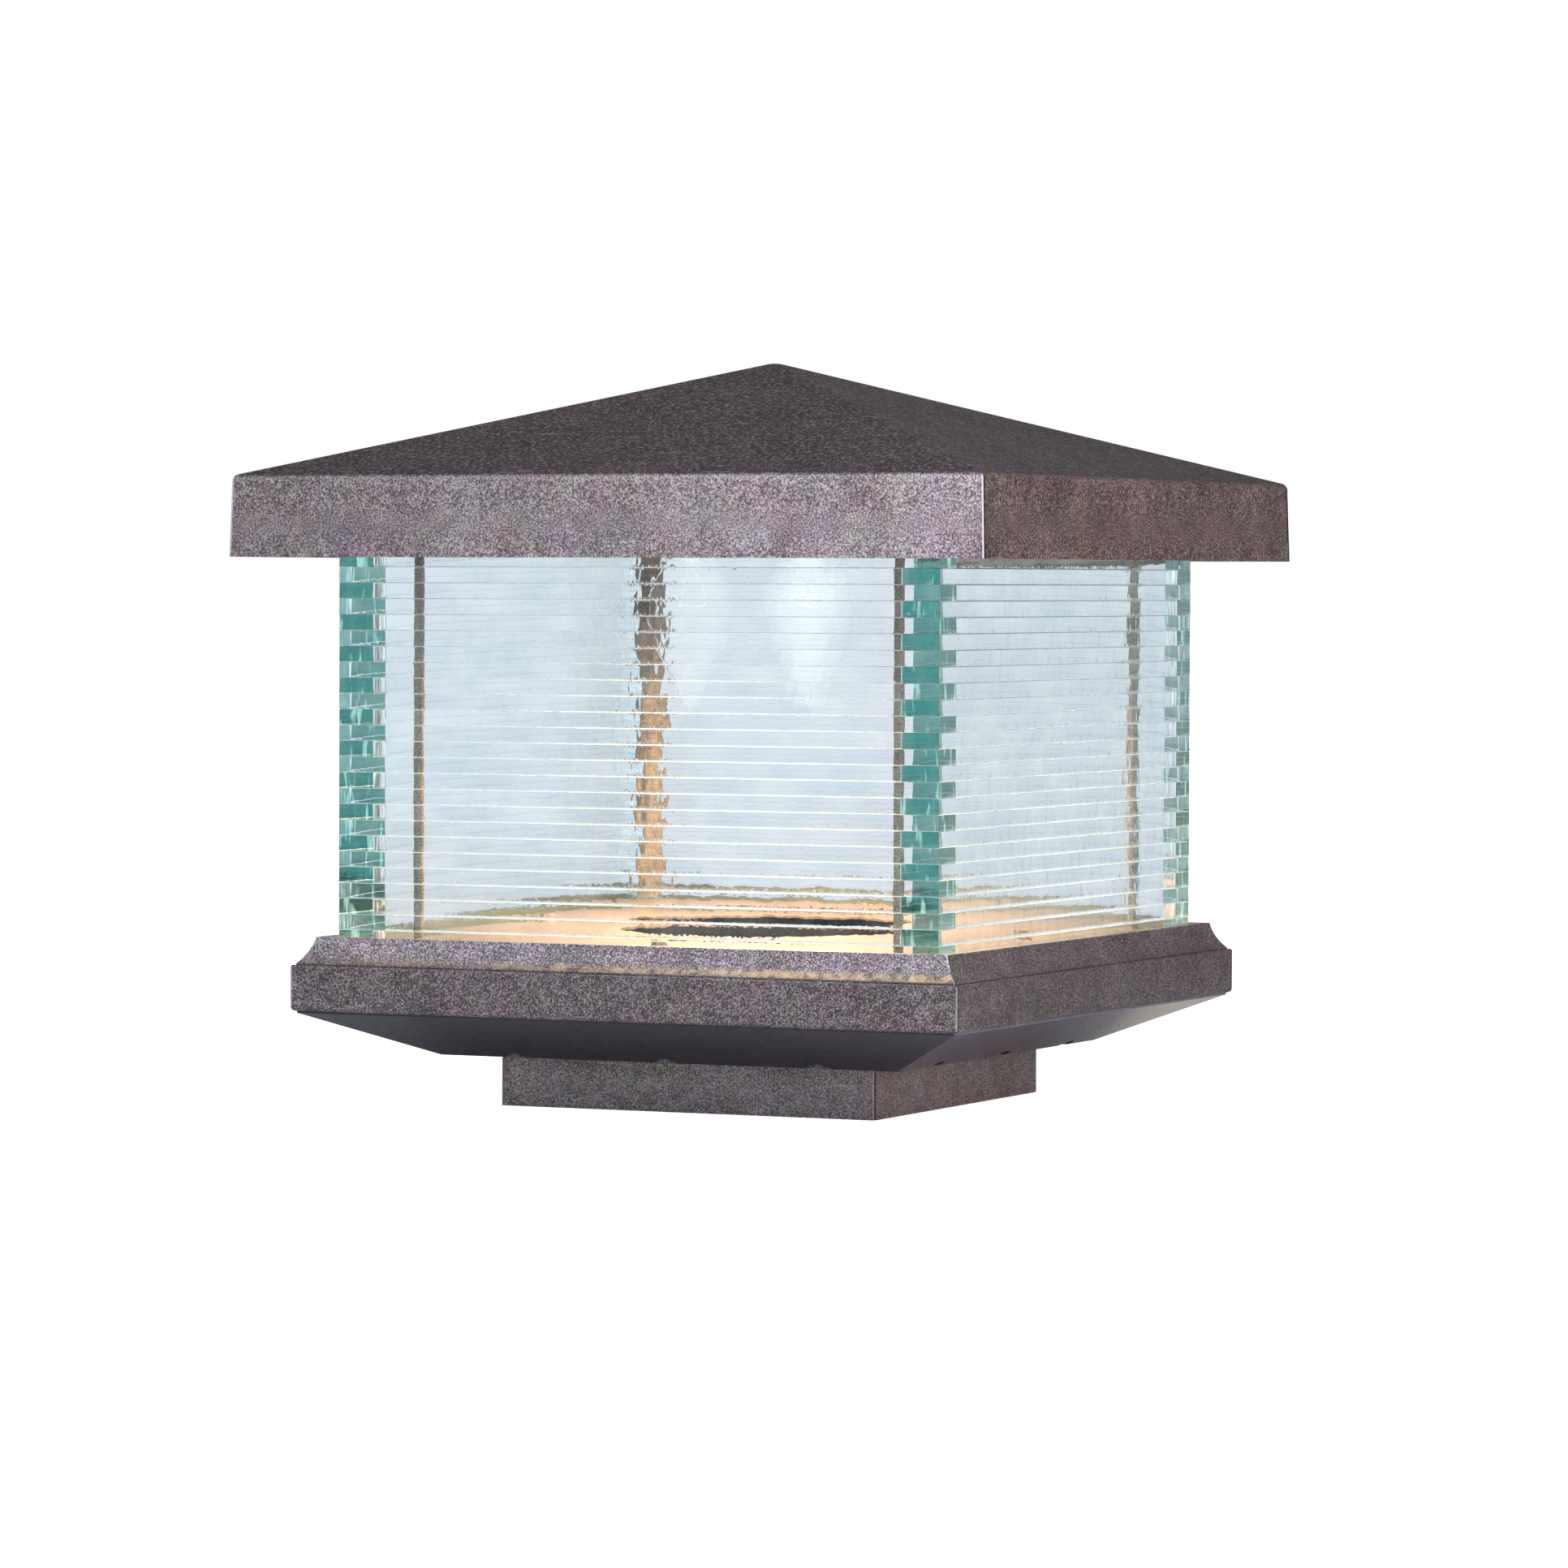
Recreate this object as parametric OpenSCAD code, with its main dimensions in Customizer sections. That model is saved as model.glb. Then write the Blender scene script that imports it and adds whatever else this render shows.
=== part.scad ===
// Deck post cap light: a pyramid roof cap over four walls of stacked glass strips,
// on a coved base with a sloping pan and a square collar. Millimetres, +Z up.
// The origin is the centre of the collar's foot, and the front face looks along -Y.

/* [Roof cap] */
// How far the foot of the fascia overhangs the band of the base
eave_out = 18.1; // [12:0.1:30]
// How much wider the fascia is at its foot than at its fold
fascia_flare = 1.8; // [0:0.2:4]
// Height of the fascia
fascia_h = 32.6; // [24:0.2:50]
// How far the fascia hangs below the soffit plate
fascia_drop = 3.6; // [2:0.2:10]
// Angle of the four roof slopes
roof_pitch = 16.5; // [15:0.5:28]
// Thickness of the roof sheet
roof_t = 1.6; // [1:0.1:2.4]
// Outer radius of the fold between fascia and slope
fold_r = 2.8; // [2.5:0.1:6]
// Outer radius of the peak
peak_r = 9; // [4:0.5:20]

/* [Glass walls] */
// How far the glass walls stand in from the band of the base
glass_in = 14.2; // [13:0.1:20]
// Depth of a strip, which is the thickness of a wall
strip_d = 15.9; // [13:0.1:18]
// Thickness of the float glass that the strips are cut from
strip_t = 6.35; // [5.6:0.05:8]
// Clear bond line between two courses
bond_t = 0.02; // [0.02:0.01:0.1]
// Number of courses in the stack
courses = 25; // [17:2:31]
// Open joint between the end of a strip and the side of the next
butt_gap = 0.3; // [0.2:0.1:0.8]
// How deep the bottom course stands below the ledge of the base
glass_sink = 3.65; // [2:0.05:4.5]
// Thickness of the gaskets over and under the glass
gasket_t = 1; // [0.6:0.1:1.6]
// Width of the gaskets
gasket_w = 13; // [7:0.5:14]

/* [Base] */
// Width of the flat band, the widest line of the base
base_w = 292.8; // [262:0.4:330]
// Height of the flat band
band_h = 18.6; // [15:0.2:30]
// How far the ledge's edge is set in from the band
ledge_in = 7.4; // [5:0.1:9]
// Height of the cove between band and ledge
cove_h = 11.2; // [9:0.2:16]
// Radius of the hollow of the cove
cove_r = 20; // [14:0.5:40]
// Thickness of the base sheet
base_t = 1.8; // [1.2:0.1:2.4]
// How far the pan's flat underside is set in from the band
pan_in = 45; // [34:0.5:47]
// Height of the sloping sides of the pan
pan_drop = 19; // [15:0.5:28]
// Thickness of the pan sheet
pan_t = 1.6; // [1:0.1:2.4]
// Height of the pan's upright rim inside the band
pan_rim_h = 11; // [5:0.5:13]
// Diameter of the weep holes along the pan's bend
weep_d = 10; // [6:0.5:12]
// Spacing of the weep holes
weep_pitch = 67.6; // [40:0.4:80]
// Thickness of the floor plate inside the glass
floor_t = 2; // [1.5:0.1:3]
// Diameter of the hand hole in the floor plate
hand_hole_d = 120; // [110:1:124]
// Width of the seat flange under the glass and the floor plate
seat_w = 22; // [20:0.5:24]

/* [Collar and mounting] */
// Width of the square collar
collar_w = 167.2; // [150:0.4:180]
// Height of the collar
collar_h = 21.2; // [18:0.2:40]
// Corner radius of the collar
collar_r = 2; // [2:0.5:12]
// Thickness of the collar sheet
collar_t = 1.6; // [1:0.1:3]
// Width of the collar's inward flange
collar_flange_w = 12; // [10:0.5:16]
// Length of the crossbar
bar_l = 124; // [120:1:126]
// Width of the crossbar
bar_w = 24; // [20:0.5:30]
// Thickness of the crossbar
bar_t = 2.4; // [1.6:0.1:3]
// How far the crossbar's ends are set up
bar_rise = 4; // [3.6:0.1:6]
// Spacing of the crossbar's two slots
slot_pitch = 79.4; // [76:0.1:80]
// Width of the slots
slot_w = 5.2; // [4.4:0.1:6]
// Length of the slots, end to end
slot_l = 14.7; // [11:0.1:16]
// How far the mounting studs stand in from the ends of the crossbar
stud_in = 8; // [6.5:0.5:9]
// Diameter of the mounting studs
stud_d = 4; // [3.5:0.1:5]
// Length of the mounting studs above their heads
stud_l = 30; // [28:0.5:36]
// Bore of the wire bushing
wire_bore_d = 14; // [8:0.5:14.5]

/* [Tie rods and conduit] */
// Distance from the inner glass face to the middle of a rod
rod_gap = 10.1; // [9.6:0.1:14]
// Diameter of the painted tie rods
rod_d = 4.2; // [3.6:0.1:6]
// Length of bare thread that shows over the floor
rod_thread_l = 11.8; // [4:0.2:20]
// Outer diameter of the wire conduit
conduit_d = 12; // [10:0.1:14]
// Bore of the wire conduit
conduit_bore_d = 9.6; // [8.6:0.1:9.8]

/* [Lamps] */
// Radius of the circle that the three lamps stand on
lamp_ring_r = 32; // [29:0.5:34]
// Diameter of the lamp's glass
lamp_d = 35; // [25:0.5:40]
// Length of the lamp's glass
lamp_l = 80; // [60:1:100]
// Diameter of the lamp's screw base
lamp_base_d = 11.9; // [11:0.1:12.4]
// Outer diameter of a lamp holder
socket_d = 24.6; // [22:0.2:26]
// Height of a lamp holder
socket_h = 46; // [40:0.5:48]
// Diameter of the opening in the soffit plate
soffit_hole_d = 150; // [140:1:156]
// Thickness of the soffit plate
soffit_t = 2; // [1.5:0.1:3]
// Width of the strap that carries the lamp holders
bridge_w = 36; // [28:0.5:40]
// Thickness of the strap
bridge_t = 1.6; // [1:0.1:2.4]

/* [Hidden] */
$fn = 48;

// Clearances and small hardware sizes
slip = 0.1;           // beside a sheet that slides into another
rest_gap = 0.3;       // under a part that lifts off
lamp_fit = 0.05;      // radial play of a lamp in its holder
hole_play = 0.25;     // radial play of a screw in a plain hole
over = 1;             // how far a cut runs past the face it opens
washer_t = 1;
nut_t = 3.3;
nut_flats = 8.7;
nut_play = 0.02;
screw_d = 4;
screw_head_d = 7.6;
screw_head_h = 2.4;
rivet_d = 3.2;
rivet_head_d = 6.4;
rivet_head_h = 1;
lead_d = 2.2;
floor_screw_l = 9;
roof_screw_l = 11;
floor_screw_in = 10;  // from the seat flange's inner edge
clip_screw_out = 15.8; // from the glass
quirk_in = 1;         // how far the cove's foot is set in on the band
mouth_gap = 2.4;      // from the soffit up to the holders' mouths
seat_depth = 17;      // from a holder's mouth up to the lamp's seat
nipple_d = 9.7;
nipple_depth = 7;
conduit_under = 13;   // below the floor plate
conduit_over = 15;    // above the soffit plate
rod_past_nut = 2.5;

// Heights, from the collar's foot up
pan_z = collar_h;
band_z0 = pan_z + pan_drop;
band_z1 = band_z0 + band_h;
ledge_z = band_z1 + cove_h;
glass_z0 = ledge_z - glass_sink;
floor_z0 = glass_z0 - gasket_t;
floor_z1 = floor_z0 + floor_t;
course_h = strip_t + bond_t;
glass_z1 = glass_z0 + courses * course_h - bond_t;
soffit_z0 = glass_z1 + gasket_t;
soffit_z1 = soffit_z0 + soffit_t;
roof_z0 = soffit_z0 - fascia_drop;
roof_z1 = roof_z0 + fascia_h;

stud_pitch = bar_l - 2 * stud_in;

// Half widths
band_half = base_w / 2;
glass_half = band_half - glass_in;
inner_half = glass_half - strip_d;
strip_l = glass_half + inner_half - butt_gap;
rod_xy = inner_half - rod_gap;
pocket_half = glass_half + 1.3;
floor_half = inner_half - 0.5;
seat_half = pocket_half - seat_w;
ledge_half = band_half - ledge_in;
pan_half = band_half - pan_in;
pan_rim_half = band_half - base_t - slip;
roof_foot_half = band_half + eave_out;
roof_fold_half = roof_foot_half - fascia_flare / 2;
reach = 2 * roof_foot_half;

// Lamps hang mouth down; the holders' mouths stand just over the soffit
socket_z0 = soffit_z1 + mouth_gap;
socket_z1 = socket_z0 + socket_h;
bridge_z1 = socket_z1 + bridge_t;
lamp_seat_z = socket_z0 + seat_depth;
lamp_angles = [90, 210, 330];
bridge_top_half = lamp_ring_r + socket_d / 2 + 9;
bridge_foot_in = soffit_hole_d / 2 + 9;
bridge_foot_w = 14;

rod_corners = [[-1, -1], [1, -1], [1, 1]];
conduit_at = [-rod_xy, rod_xy];
conduit_z0 = floor_z0 - conduit_under;
conduit_z1 = soffit_z1 + conduit_over;
roof_screw_xy = glass_half + clip_screw_out;

bronze = "#4d4341";
bronze_dark = "#2b2a30";
glass_tint = [0.55, 0.8, 0.78, 0.55];
steel = "#a8a9a5";
brass = "#b8923f";

// ---- Shared shapes ----

function unit(v) = v / norm(v);

// Points of the arc that rounds corner b between a and c
function rounded(a, b, c, r, n = 4) =
    let (
        u = unit(a - b),
        v = unit(c - b),
        half = acos(u * v) / 2,
        mid = b + unit(u + v) * r / sin(half),
        from = b + u * r / tan(half) - mid,
        to = b + v * r / tan(half) - mid
    )
    [for (i = [0:n]) mid + r * unit(from * sin((1 - i / n) * (180 - 2 * half))
                                    + to * sin(i / n * (180 - 2 * half)))];

// Square solid with mitred corners whose half width follows an outline of [half width, z]
module mitred(outline) {
    right = [for (p = outline) if (p.x > 0) p];
    peak = [for (p = outline) if (p.x <= 0) p];
    both = concat(right, peak, [for (i = [len(right) - 1:-1:0]) [-right[i].x, right[i].y]]);
    intersection() {
        rotate([90, 0, 0]) linear_extrude(2 * reach, center = true) polygon(both);
        rotate([90, 0, 90]) linear_extrude(2 * reach, center = true) polygon(both);
    }
}

module slab(half, z0, z1) {
    translate([-half, -half, z0]) cube([2 * half, 2 * half, z1 - z0]);
}

module drill(d, z0, z1) {
    translate([0, 0, z0]) cylinder(d = d, h = z1 - z0);
}

module four_sides() {
    for (turn = [0:90:270]) rotate(turn) children();
}

module hex_nut(bore_d, flats, t) {
    difference() {
        cylinder(d = flats / cos(30), h = t, $fn = 6);
        translate([0, 0, -over]) cylinder(d = bore_d, h = t + 2 * over);
    }
}

module washer(bore_d, outer_d, t) {
    difference() {
        cylinder(d = outer_d, h = t);
        translate([0, 0, -over]) cylinder(d = bore_d, h = t + 2 * over);
    }
}

// Pan-head screw: the head stands on z = 0 and the shank hangs below it
module pan_screw(d, l, head_d = screw_head_d, head_h = screw_head_h) {
    difference() {
        union() {
            cylinder(d1 = head_d, d2 = head_d * 0.72, h = head_h);
            translate([0, 0, -l]) cylinder(d = d, h = l + head_h / 2);
        }
        translate([-head_d / 2, -0.5, head_h * 0.55]) cube([head_d, 1, head_h]);
    }
}

// Insulated lead along a path
function bend(a, b, c, d, n = 9) = [for (i = [1:n]) let (t = i / n, s = 1 - t)
    s * s * s * a + 3 * s * s * t * b + 3 * s * t * t * c + t * t * t * d];
function tangent(p, i) = unit(p[min(i + 1, len(p) - 1)] - p[max(i - 1, 0)]);
function normals(p, n, i = 0) = i == len(p) ? [] :
    let (t = tangent(p, i), m = unit(n - (n * t) * t)) concat([m], normals(p, m, i + 1));

module lead(path, first_normal, d = lead_d, sides = 6) {
    across = normals(path, first_normal);
    last = len(path) - 1;
    points = [for (i = [0:last]) let (b = cross(tangent(path, i), across[i]))
        for (k = [0:sides - 1]) path[i] + d / 2 * (cos(360 * k / sides) * across[i]
                                                  + sin(360 * k / sides) * b)];
    walls = [for (i = [0:last - 1]) for (k = [0:sides - 1])
        let (a = i * sides + k, b = i * sides + (k + 1) % sides)
        for (f = [[a, a + sides, b], [b, a + sides, b + sides]]) f];
    foot = [for (k = [1:sides - 2]) [0, k, k + 1]];
    end = [for (k = [1:sides - 2]) [last * sides, last * sides + k + 1, last * sides + k]];
    polyhedron(points, concat(walls, foot, end), convexity = 6);
}

// ---- Collar and mounting ----

module rounded_square(half, r, z0, z1) {
    translate([0, 0, z0]) linear_extrude(z1 - z0) union() {
        square([2 * half, 2 * (half - r)], center = true);
        square([2 * (half - r), 2 * half], center = true);
        for (x = [-1, 1], y = [-1, 1]) translate([x * (half - r), y * (half - r)]) circle(r);
    }
}

module collar() {
    half = collar_w / 2;
    seam_w = 0.5;
    color(bronze) difference() {
        rounded_square(half, collar_r, 0, collar_h);
        rounded_square(half - collar_t, collar_r - collar_t, -over, collar_h - collar_t);
        slab(half - collar_t - collar_flange_w, 0, collar_h + over);
        // The strip is bent round the corners and its ends meet in a seam at the back
        translate([-seam_w / 2, half - collar_t / 2, -over])
            cube([seam_w, over + collar_t / 2, collar_h + 2 * over]);
        rivet_spots() drill(rivet_d + 2 * slip, collar_h - collar_t - over, collar_h + over);
    }
}

module rivet_spots() {
    four_sides() for (y = [-1, 1])
        translate([collar_w / 2 - collar_t - collar_flange_w / 2, y * collar_w / 4]) children();
}

module collar_rivets() {
    color(bronze_dark) rivet_spots() {
        drill(rivet_d, collar_h - collar_t - rivet_head_h / 2, pan_z + pan_t + rivet_head_h / 2);
        translate([0, 0, pan_z + pan_t]) cylinder(d1 = rivet_head_d, d2 = rivet_d, h = rivet_head_h);
        translate([0, 0, collar_h - collar_t - rivet_head_h])
            cylinder(d1 = rivet_d, d2 = rivet_head_d, h = rivet_head_h);
    }
}

module wire_bushing() {
    hole_r = wire_bore_d / 2 + 4;
    lip = 3;
    lip_t = 1.8;
    color("#1d1d1f") rotate_extrude() polygon([
        [wire_bore_d / 2, pan_z - lip_t], [hole_r + lip - 0.8, pan_z - lip_t],
        [hole_r + lip, pan_z], [hole_r, pan_z], [hole_r, pan_z + pan_t],
        [hole_r + lip, pan_z + pan_t], [hole_r + lip - 0.8, pan_z + pan_t + lip_t],
        [wire_bore_d / 2, pan_z + pan_t + lip_t]
    ]);
}

module crossbar() {
    end_in = stud_pitch / 2 - screw_head_d / 2 - 1;
    foot = end_in - bar_rise * 0.6;
    color(steel) difference() {
        rotate([90, 0, 0]) linear_extrude(bar_w, center = true) polygon([
            [-foot, 0], [foot, 0], [end_in, bar_rise], [bar_l / 2, bar_rise],
            [bar_l / 2, bar_rise + bar_t], [end_in - 0.6, bar_rise + bar_t], [foot - 0.6, bar_t],
            [0.6 - foot, bar_t], [0.6 - end_in, bar_rise + bar_t], [-bar_l / 2, bar_rise + bar_t],
            [-bar_l / 2, bar_rise], [-end_in, bar_rise]
        ]);
        drill(wire_bore_d + 1, -over, bar_t + over);
        for (x = [-1, 1]) {
            translate([x * stud_pitch / 2, 0]) drill(stud_d + 0.1, 0, bar_rise + bar_t + over);
            for (e = [-1, 1]) translate([(x * slot_pitch + e * (slot_l - slot_w)) / 2, 0])
                drill(slot_w, -over, bar_t + over);
            translate([(x * slot_pitch - slot_l + slot_w) / 2, -slot_w / 2, -over])
                cube([slot_l - slot_w, slot_w, bar_t + 2 * over]);
        }
        translate([-ground_x, 0]) drill(screw_d + 0.1, -over, bar_t + over);
    }
}

ground_x = (wire_bore_d + 1 + slot_pitch - slot_l) / 4;

module ground_screw() {
    color("#3f8f4a") translate([-ground_x, 0, bar_t]) pan_screw(screw_d, bar_t);
}

module stud_spots() {
    for (x = [-1, 1]) translate([x * stud_pitch / 2, 0]) children();
}

module mounting_studs() {
    color(steel) stud_spots() {
        drill(stud_d, bar_rise - screw_head_h, bar_rise + stud_l);
        drill(screw_head_d, bar_rise - screw_head_h, bar_rise);
    }
}

module stud_washers() {
    color(steel) stud_spots() translate([0, 0, pan_z + pan_t])
        washer(stud_d + 2 * hole_play, stud_d * 2.4, washer_t);
}

module stud_nuts() {
    color(steel) stud_spots() translate([0, 0, pan_z + pan_t + washer_t])
        hex_nut(stud_d + 2 * nut_play, nut_flats, nut_t);
}

// ---- Base ----

module base_pan() {
    rim_half = pan_rim_half;
    slope = pan_drop / (band_half - pan_half);
    rim_z0 = pan_z + (rim_half - pan_half) * slope;
    rim_z1 = rim_z0 + pan_rim_h;
    lift = pan_t * sqrt(1 + slope * slope);
    color(bronze_dark) difference() {
        mitred([[pan_half, pan_z], [rim_half, rim_z0], [rim_half, rim_z1]]);
        mitred([
            [pan_half - (lift - pan_t) / slope, pan_z + pan_t],
            [rim_half - pan_t, rim_z0 - pan_t * slope + lift],
            [rim_half - pan_t, rim_z1 + over]
        ]);
        drill(wire_bore_d + 8, pan_z - over, pan_z + pan_t + over);
        stud_spots() drill(stud_d + 4 * hole_play, pan_z - over, pan_z + pan_t + over);
        rivet_spots() drill(rivet_d + 2 * slip, pan_z - over, pan_z + pan_t + over);
        bond_spot() drill(screw_d + 0.1, pan_z - over, pan_z + pan_t + over);
        // Weep holes straddle the bend, three to a side
        four_sides() for (i = [-1:1]) translate([pan_half, i * weep_pitch])
            drill(weep_d, pan_z - over, pan_z + weep_d);
    }
}

// The cove is one arc from the ledge's edge down to the band
cove_top = [ledge_half, ledge_z];
cove_foot = [band_half - quirk_in, band_z1];
cove_chord = cove_foot - cove_top;
cove_out = unit([-cove_chord.y, cove_chord.x]);
cove_mid = (cove_top + cove_foot) / 2
    + cove_out * sqrt(cove_r * cove_r - cove_chord * cove_chord / 4);

// Points of the cove from its foot to its top, set inwards by a distance
function cove(inset, n = 8) =
    let (
        a = atan2(cove_foot.y - cove_mid.y, cove_foot.x - cove_mid.x),
        b = atan2(cove_top.y - cove_mid.y, cove_top.x - cove_mid.x)
    )
    [for (i = [0:n]) cove_mid + (cove_r + inset) * [cos(a + (b - a) * i / n), sin(a + (b - a) * i / n)]];

module base_frame() {
    edge_r = 1.6;
    top_r = 0.8;
    tab_w = 26;
    lip_t = base_t;
    color(bronze) difference() {
        union() {
            difference() {
                mitred(concat(
                    rounded([0, band_z0], [band_half, band_z0], [band_half, band_z1], edge_r),
                    rounded([band_half, band_z0], [band_half, band_z1], [0, band_z1], top_r),
                    cove(0)
                ));
                // Hollow behind the band and cove, round the lip that drops from the ledge
                intersection() {
                    mitred(concat(
                        [[band_half - base_t, band_z0 - over], [band_half - base_t, band_z1 - base_t]],
                        cove(base_t)
                    ));
                    difference() {
                        slab(band_half, band_z0 - 2 * over, ledge_z - base_t);
                        slab(pocket_half + lip_t, floor_z0 - base_t, ledge_z);
                    }
                }
                slab(pocket_half, floor_z0, ledge_z + over);
                slab(seat_half, band_z0 - over, ledge_z);
            }
            // Screw tabs in the middle of each side of the seat flange
            four_sides() translate([floor_screw_at - 6, -tab_w / 2, floor_z0 - base_t])
                cube([seat_half - floor_screw_at + 6 + over, tab_w, base_t]);
        }
        // Fine quirk between the cove and the band's rounded edge
        difference() {
            slab(band_half - quirk_in, band_z1 - 0.5, band_z1 + 0.4);
            slab(band_half - quirk_in - 0.7, band_z1 - over, band_z1 + over);
        }
        four_sides() translate([floor_screw_at, 0]) drill(screw_d + 0.1, band_z1, floor_z0 + over);
        // Room in the seat's corners for the nuts under the floor plate
        four_sides() translate([rod_xy, rod_xy]) drill(2 * corner_room, band_z1, floor_z0 + over);
    }
}

corner_room = (conduit_d + 4) / 2 / cos(30) + 1;
floor_screw_at = seat_half - floor_screw_in;

module floor_plate() {
    color(bronze) difference() {
        slab(floor_half, floor_z0, floor_z1);
        drill(hand_hole_d, floor_z0 - over, floor_z1 + over);
        rod_spots() drill(rod_d + 2 * hole_play, floor_z0 - over, floor_z1 + over);
        translate(conduit_at) drill(conduit_d + 2 * hole_play, floor_z0 - over, floor_z1 + over);
        four_sides() translate([floor_screw_at, 0])
            drill(screw_d + 2 * hole_play, floor_z0 - over, floor_z1 + over);
    }
}

module floor_screws() {
    color(bronze_dark) four_sides() translate([floor_screw_at, 0, floor_z1])
        pan_screw(screw_d, floor_screw_l);
}

// ---- Glass walls ----

module gasket(z0) {
    edge = (strip_d - gasket_w) / 2;
    color("#c9d2cf") difference() {
        slab(glass_half - edge, z0, z0 + gasket_t);
        slab(glass_half - edge - gasket_w, z0 - over, z0 + gasket_t + over);
    }
}

module glass_gasket_bottom() { gasket(floor_z0); }
module glass_gasket_top() { gasket(glass_z1); }

// One wall, built at the front. All strips are of one length, laid as a pinwheel: each runs out to
// one corner and stops short of the next wall at the other, and every course turns the other way.
module glass_wall() {
    for (i = [0:courses - 1])
        color(glass_tint) mirror([i % 2, 0, 0])
            translate([glass_half - strip_l, -glass_half, glass_z0 + i * course_h])
                cube([strip_l, strip_d, strip_t]);
}

module glass_wall_front() { glass_wall(); }
module glass_wall_back() { rotate(180) glass_wall(); }
module glass_wall_left() { rotate(-90) glass_wall(); }
module glass_wall_right() { rotate(90) glass_wall(); }

// ---- Tie rods and conduit ----

module rod_spots() {
    for (c = rod_corners) translate([c.x * rod_xy, c.y * rod_xy]) children();
}

rod_z0 = floor_z0 - washer_t - nut_t - rod_past_nut;
rod_z1 = soffit_z1 + washer_t + nut_t + rod_past_nut;

module tie_rod(corner) {
    thread_d = rod_d - 0.3;
    color(bronze) translate([corner.x * rod_xy, corner.y * rod_xy]) {
        drill(thread_d, rod_z0, rod_z1);
        drill(rod_d, floor_z1 + rod_thread_l, soffit_z0 - over);
    }
}

module tie_rod_front_left() { tie_rod(rod_corners[0]); }
module tie_rod_front_right() { tie_rod(rod_corners[1]); }
module tie_rod_back_right() { tie_rod(rod_corners[2]); }

module rod_washers() {
    color(steel) rod_spots() {
        translate([0, 0, floor_z0 - washer_t]) washer(rod_d + hole_play, rod_d * 2.4, washer_t);
        translate([0, 0, soffit_z1]) washer(rod_d + hole_play, rod_d * 2.4, washer_t);
    }
}

module rod_nuts() {
    bore = rod_d - 0.3 + 2 * nut_play;
    flats = rod_d * 2.05;
    color(steel) rod_spots() {
        translate([0, 0, floor_z0 - washer_t - nut_t]) hex_nut(bore, flats, nut_t);
        translate([0, 0, soffit_z1 + washer_t]) hex_nut(bore, flats, nut_t);
    }
}

module wire_conduit() {
    color(bronze) translate(conduit_at) difference() {
        drill(conduit_d, conduit_z0, conduit_z1);
        drill(conduit_bore_d, conduit_z0 - over, conduit_z1 + over);
    }
}

module conduit_locknuts() {
    bore = conduit_d + 2 * nut_play;
    flats = conduit_d + 4;
    color(steel) translate(conduit_at) {
        translate([0, 0, floor_z0 - nut_t]) hex_nut(bore, flats, nut_t);
        translate([0, 0, floor_z1]) hex_nut(bore, flats, nut_t);
        translate([0, 0, soffit_z1]) hex_nut(bore, flats, nut_t);
    }
}

// Plastic ring that keeps the leads off the conduit's top edge
module conduit_end_bushing() {
    inner_r = conduit_bore_d / 2 - 0.4;
    color("#2a2a2c") translate(conduit_at) rotate_extrude() polygon([
        [inner_r, conduit_z1 + 1.2], [inner_r, conduit_z1], [conduit_d / 2 + nut_play, conduit_z1],
        [conduit_d / 2 + nut_play, conduit_z1 - 5], [conduit_d / 2 + 1.2, conduit_z1 - 5],
        [conduit_d / 2 + 1.2, conduit_z1 + 0.6], [conduit_d / 2 + 0.6, conduit_z1 + 1.2]
    ]);
}

// ---- Soffit, strap and lamp holders ----

// Half width inside the fascia at a height
function fascia_inside(z) = roof_foot_half - roof_t
    - (roof_foot_half - roof_fold_half) * (z - roof_z0) / fascia_h;

module soffit_plate() {
    color(bronze) difference() {
        slab(fascia_inside(soffit_z1) - 4 * slip, soffit_z0, soffit_z1);
        drill(soffit_hole_d, soffit_z0 - over, soffit_z1 + over);
        rod_spots() drill(rod_d + 2 * hole_play, soffit_z0 - over, soffit_z1 + over);
        translate(conduit_at) drill(conduit_d + 2 * hole_play, soffit_z0 - over, soffit_z1 + over);
        bridge_screw_spots() drill(screw_d - 0.6, soffit_z0 - over, soffit_z1 + over);
        roof_screw_spots() drill(screw_d + 0.2, soffit_z0 - over, soffit_z1 + over);
    }
}

module socket_spots() {
    for (a = lamp_angles) rotate(a) translate([lamp_ring_r, 0]) children();
}

module bridge_screw_spots() {
    for (x = [-1, 1], y = [-1, 1])
        translate([x * (bridge_foot_in + bridge_foot_w / 2), y * bridge_w / 4]) children();
}

module socket_bridge() {
    foot_out = bridge_foot_in + bridge_foot_w;
    fall = (socket_z1 - soffit_z1) / (bridge_foot_in - bridge_top_half);
    lean = bridge_t * sqrt(1 + 1 / (fall * fall)) - bridge_t / fall;
    right = [
        [foot_out, soffit_z1], [foot_out, soffit_z1 + bridge_t],
        [bridge_foot_in + lean, soffit_z1 + bridge_t], [bridge_top_half + lean, bridge_z1]
    ];
    inner = [[bridge_top_half, socket_z1], [bridge_foot_in, soffit_z1]];
    color(steel) difference() {
        union() {
            rotate([90, 0, 0]) linear_extrude(bridge_w, center = true) polygon(concat(
                right, [for (i = [3:-1:0]) [-right[i].x, right[i].y]],
                [for (i = [1:-1:0]) [-inner[i].x, inner[i].y]], inner
            ));
            drill(2 * (lamp_ring_r + socket_d / 2 + 2), socket_z1, bridge_z1);
        }
        socket_spots() drill(nipple_d + 2 * hole_play, socket_z1 - over, bridge_z1 + over);
        bridge_screw_spots() drill(screw_d + 2 * hole_play, soffit_z1 - over, soffit_z1 + bridge_t + over);
    }
}

module bridge_screws() {
    color(steel) bridge_screw_spots() translate([0, 0, soffit_z1 + bridge_t])
        pan_screw(screw_d - 0.7, bridge_t + soffit_t + 2);
}

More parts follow.
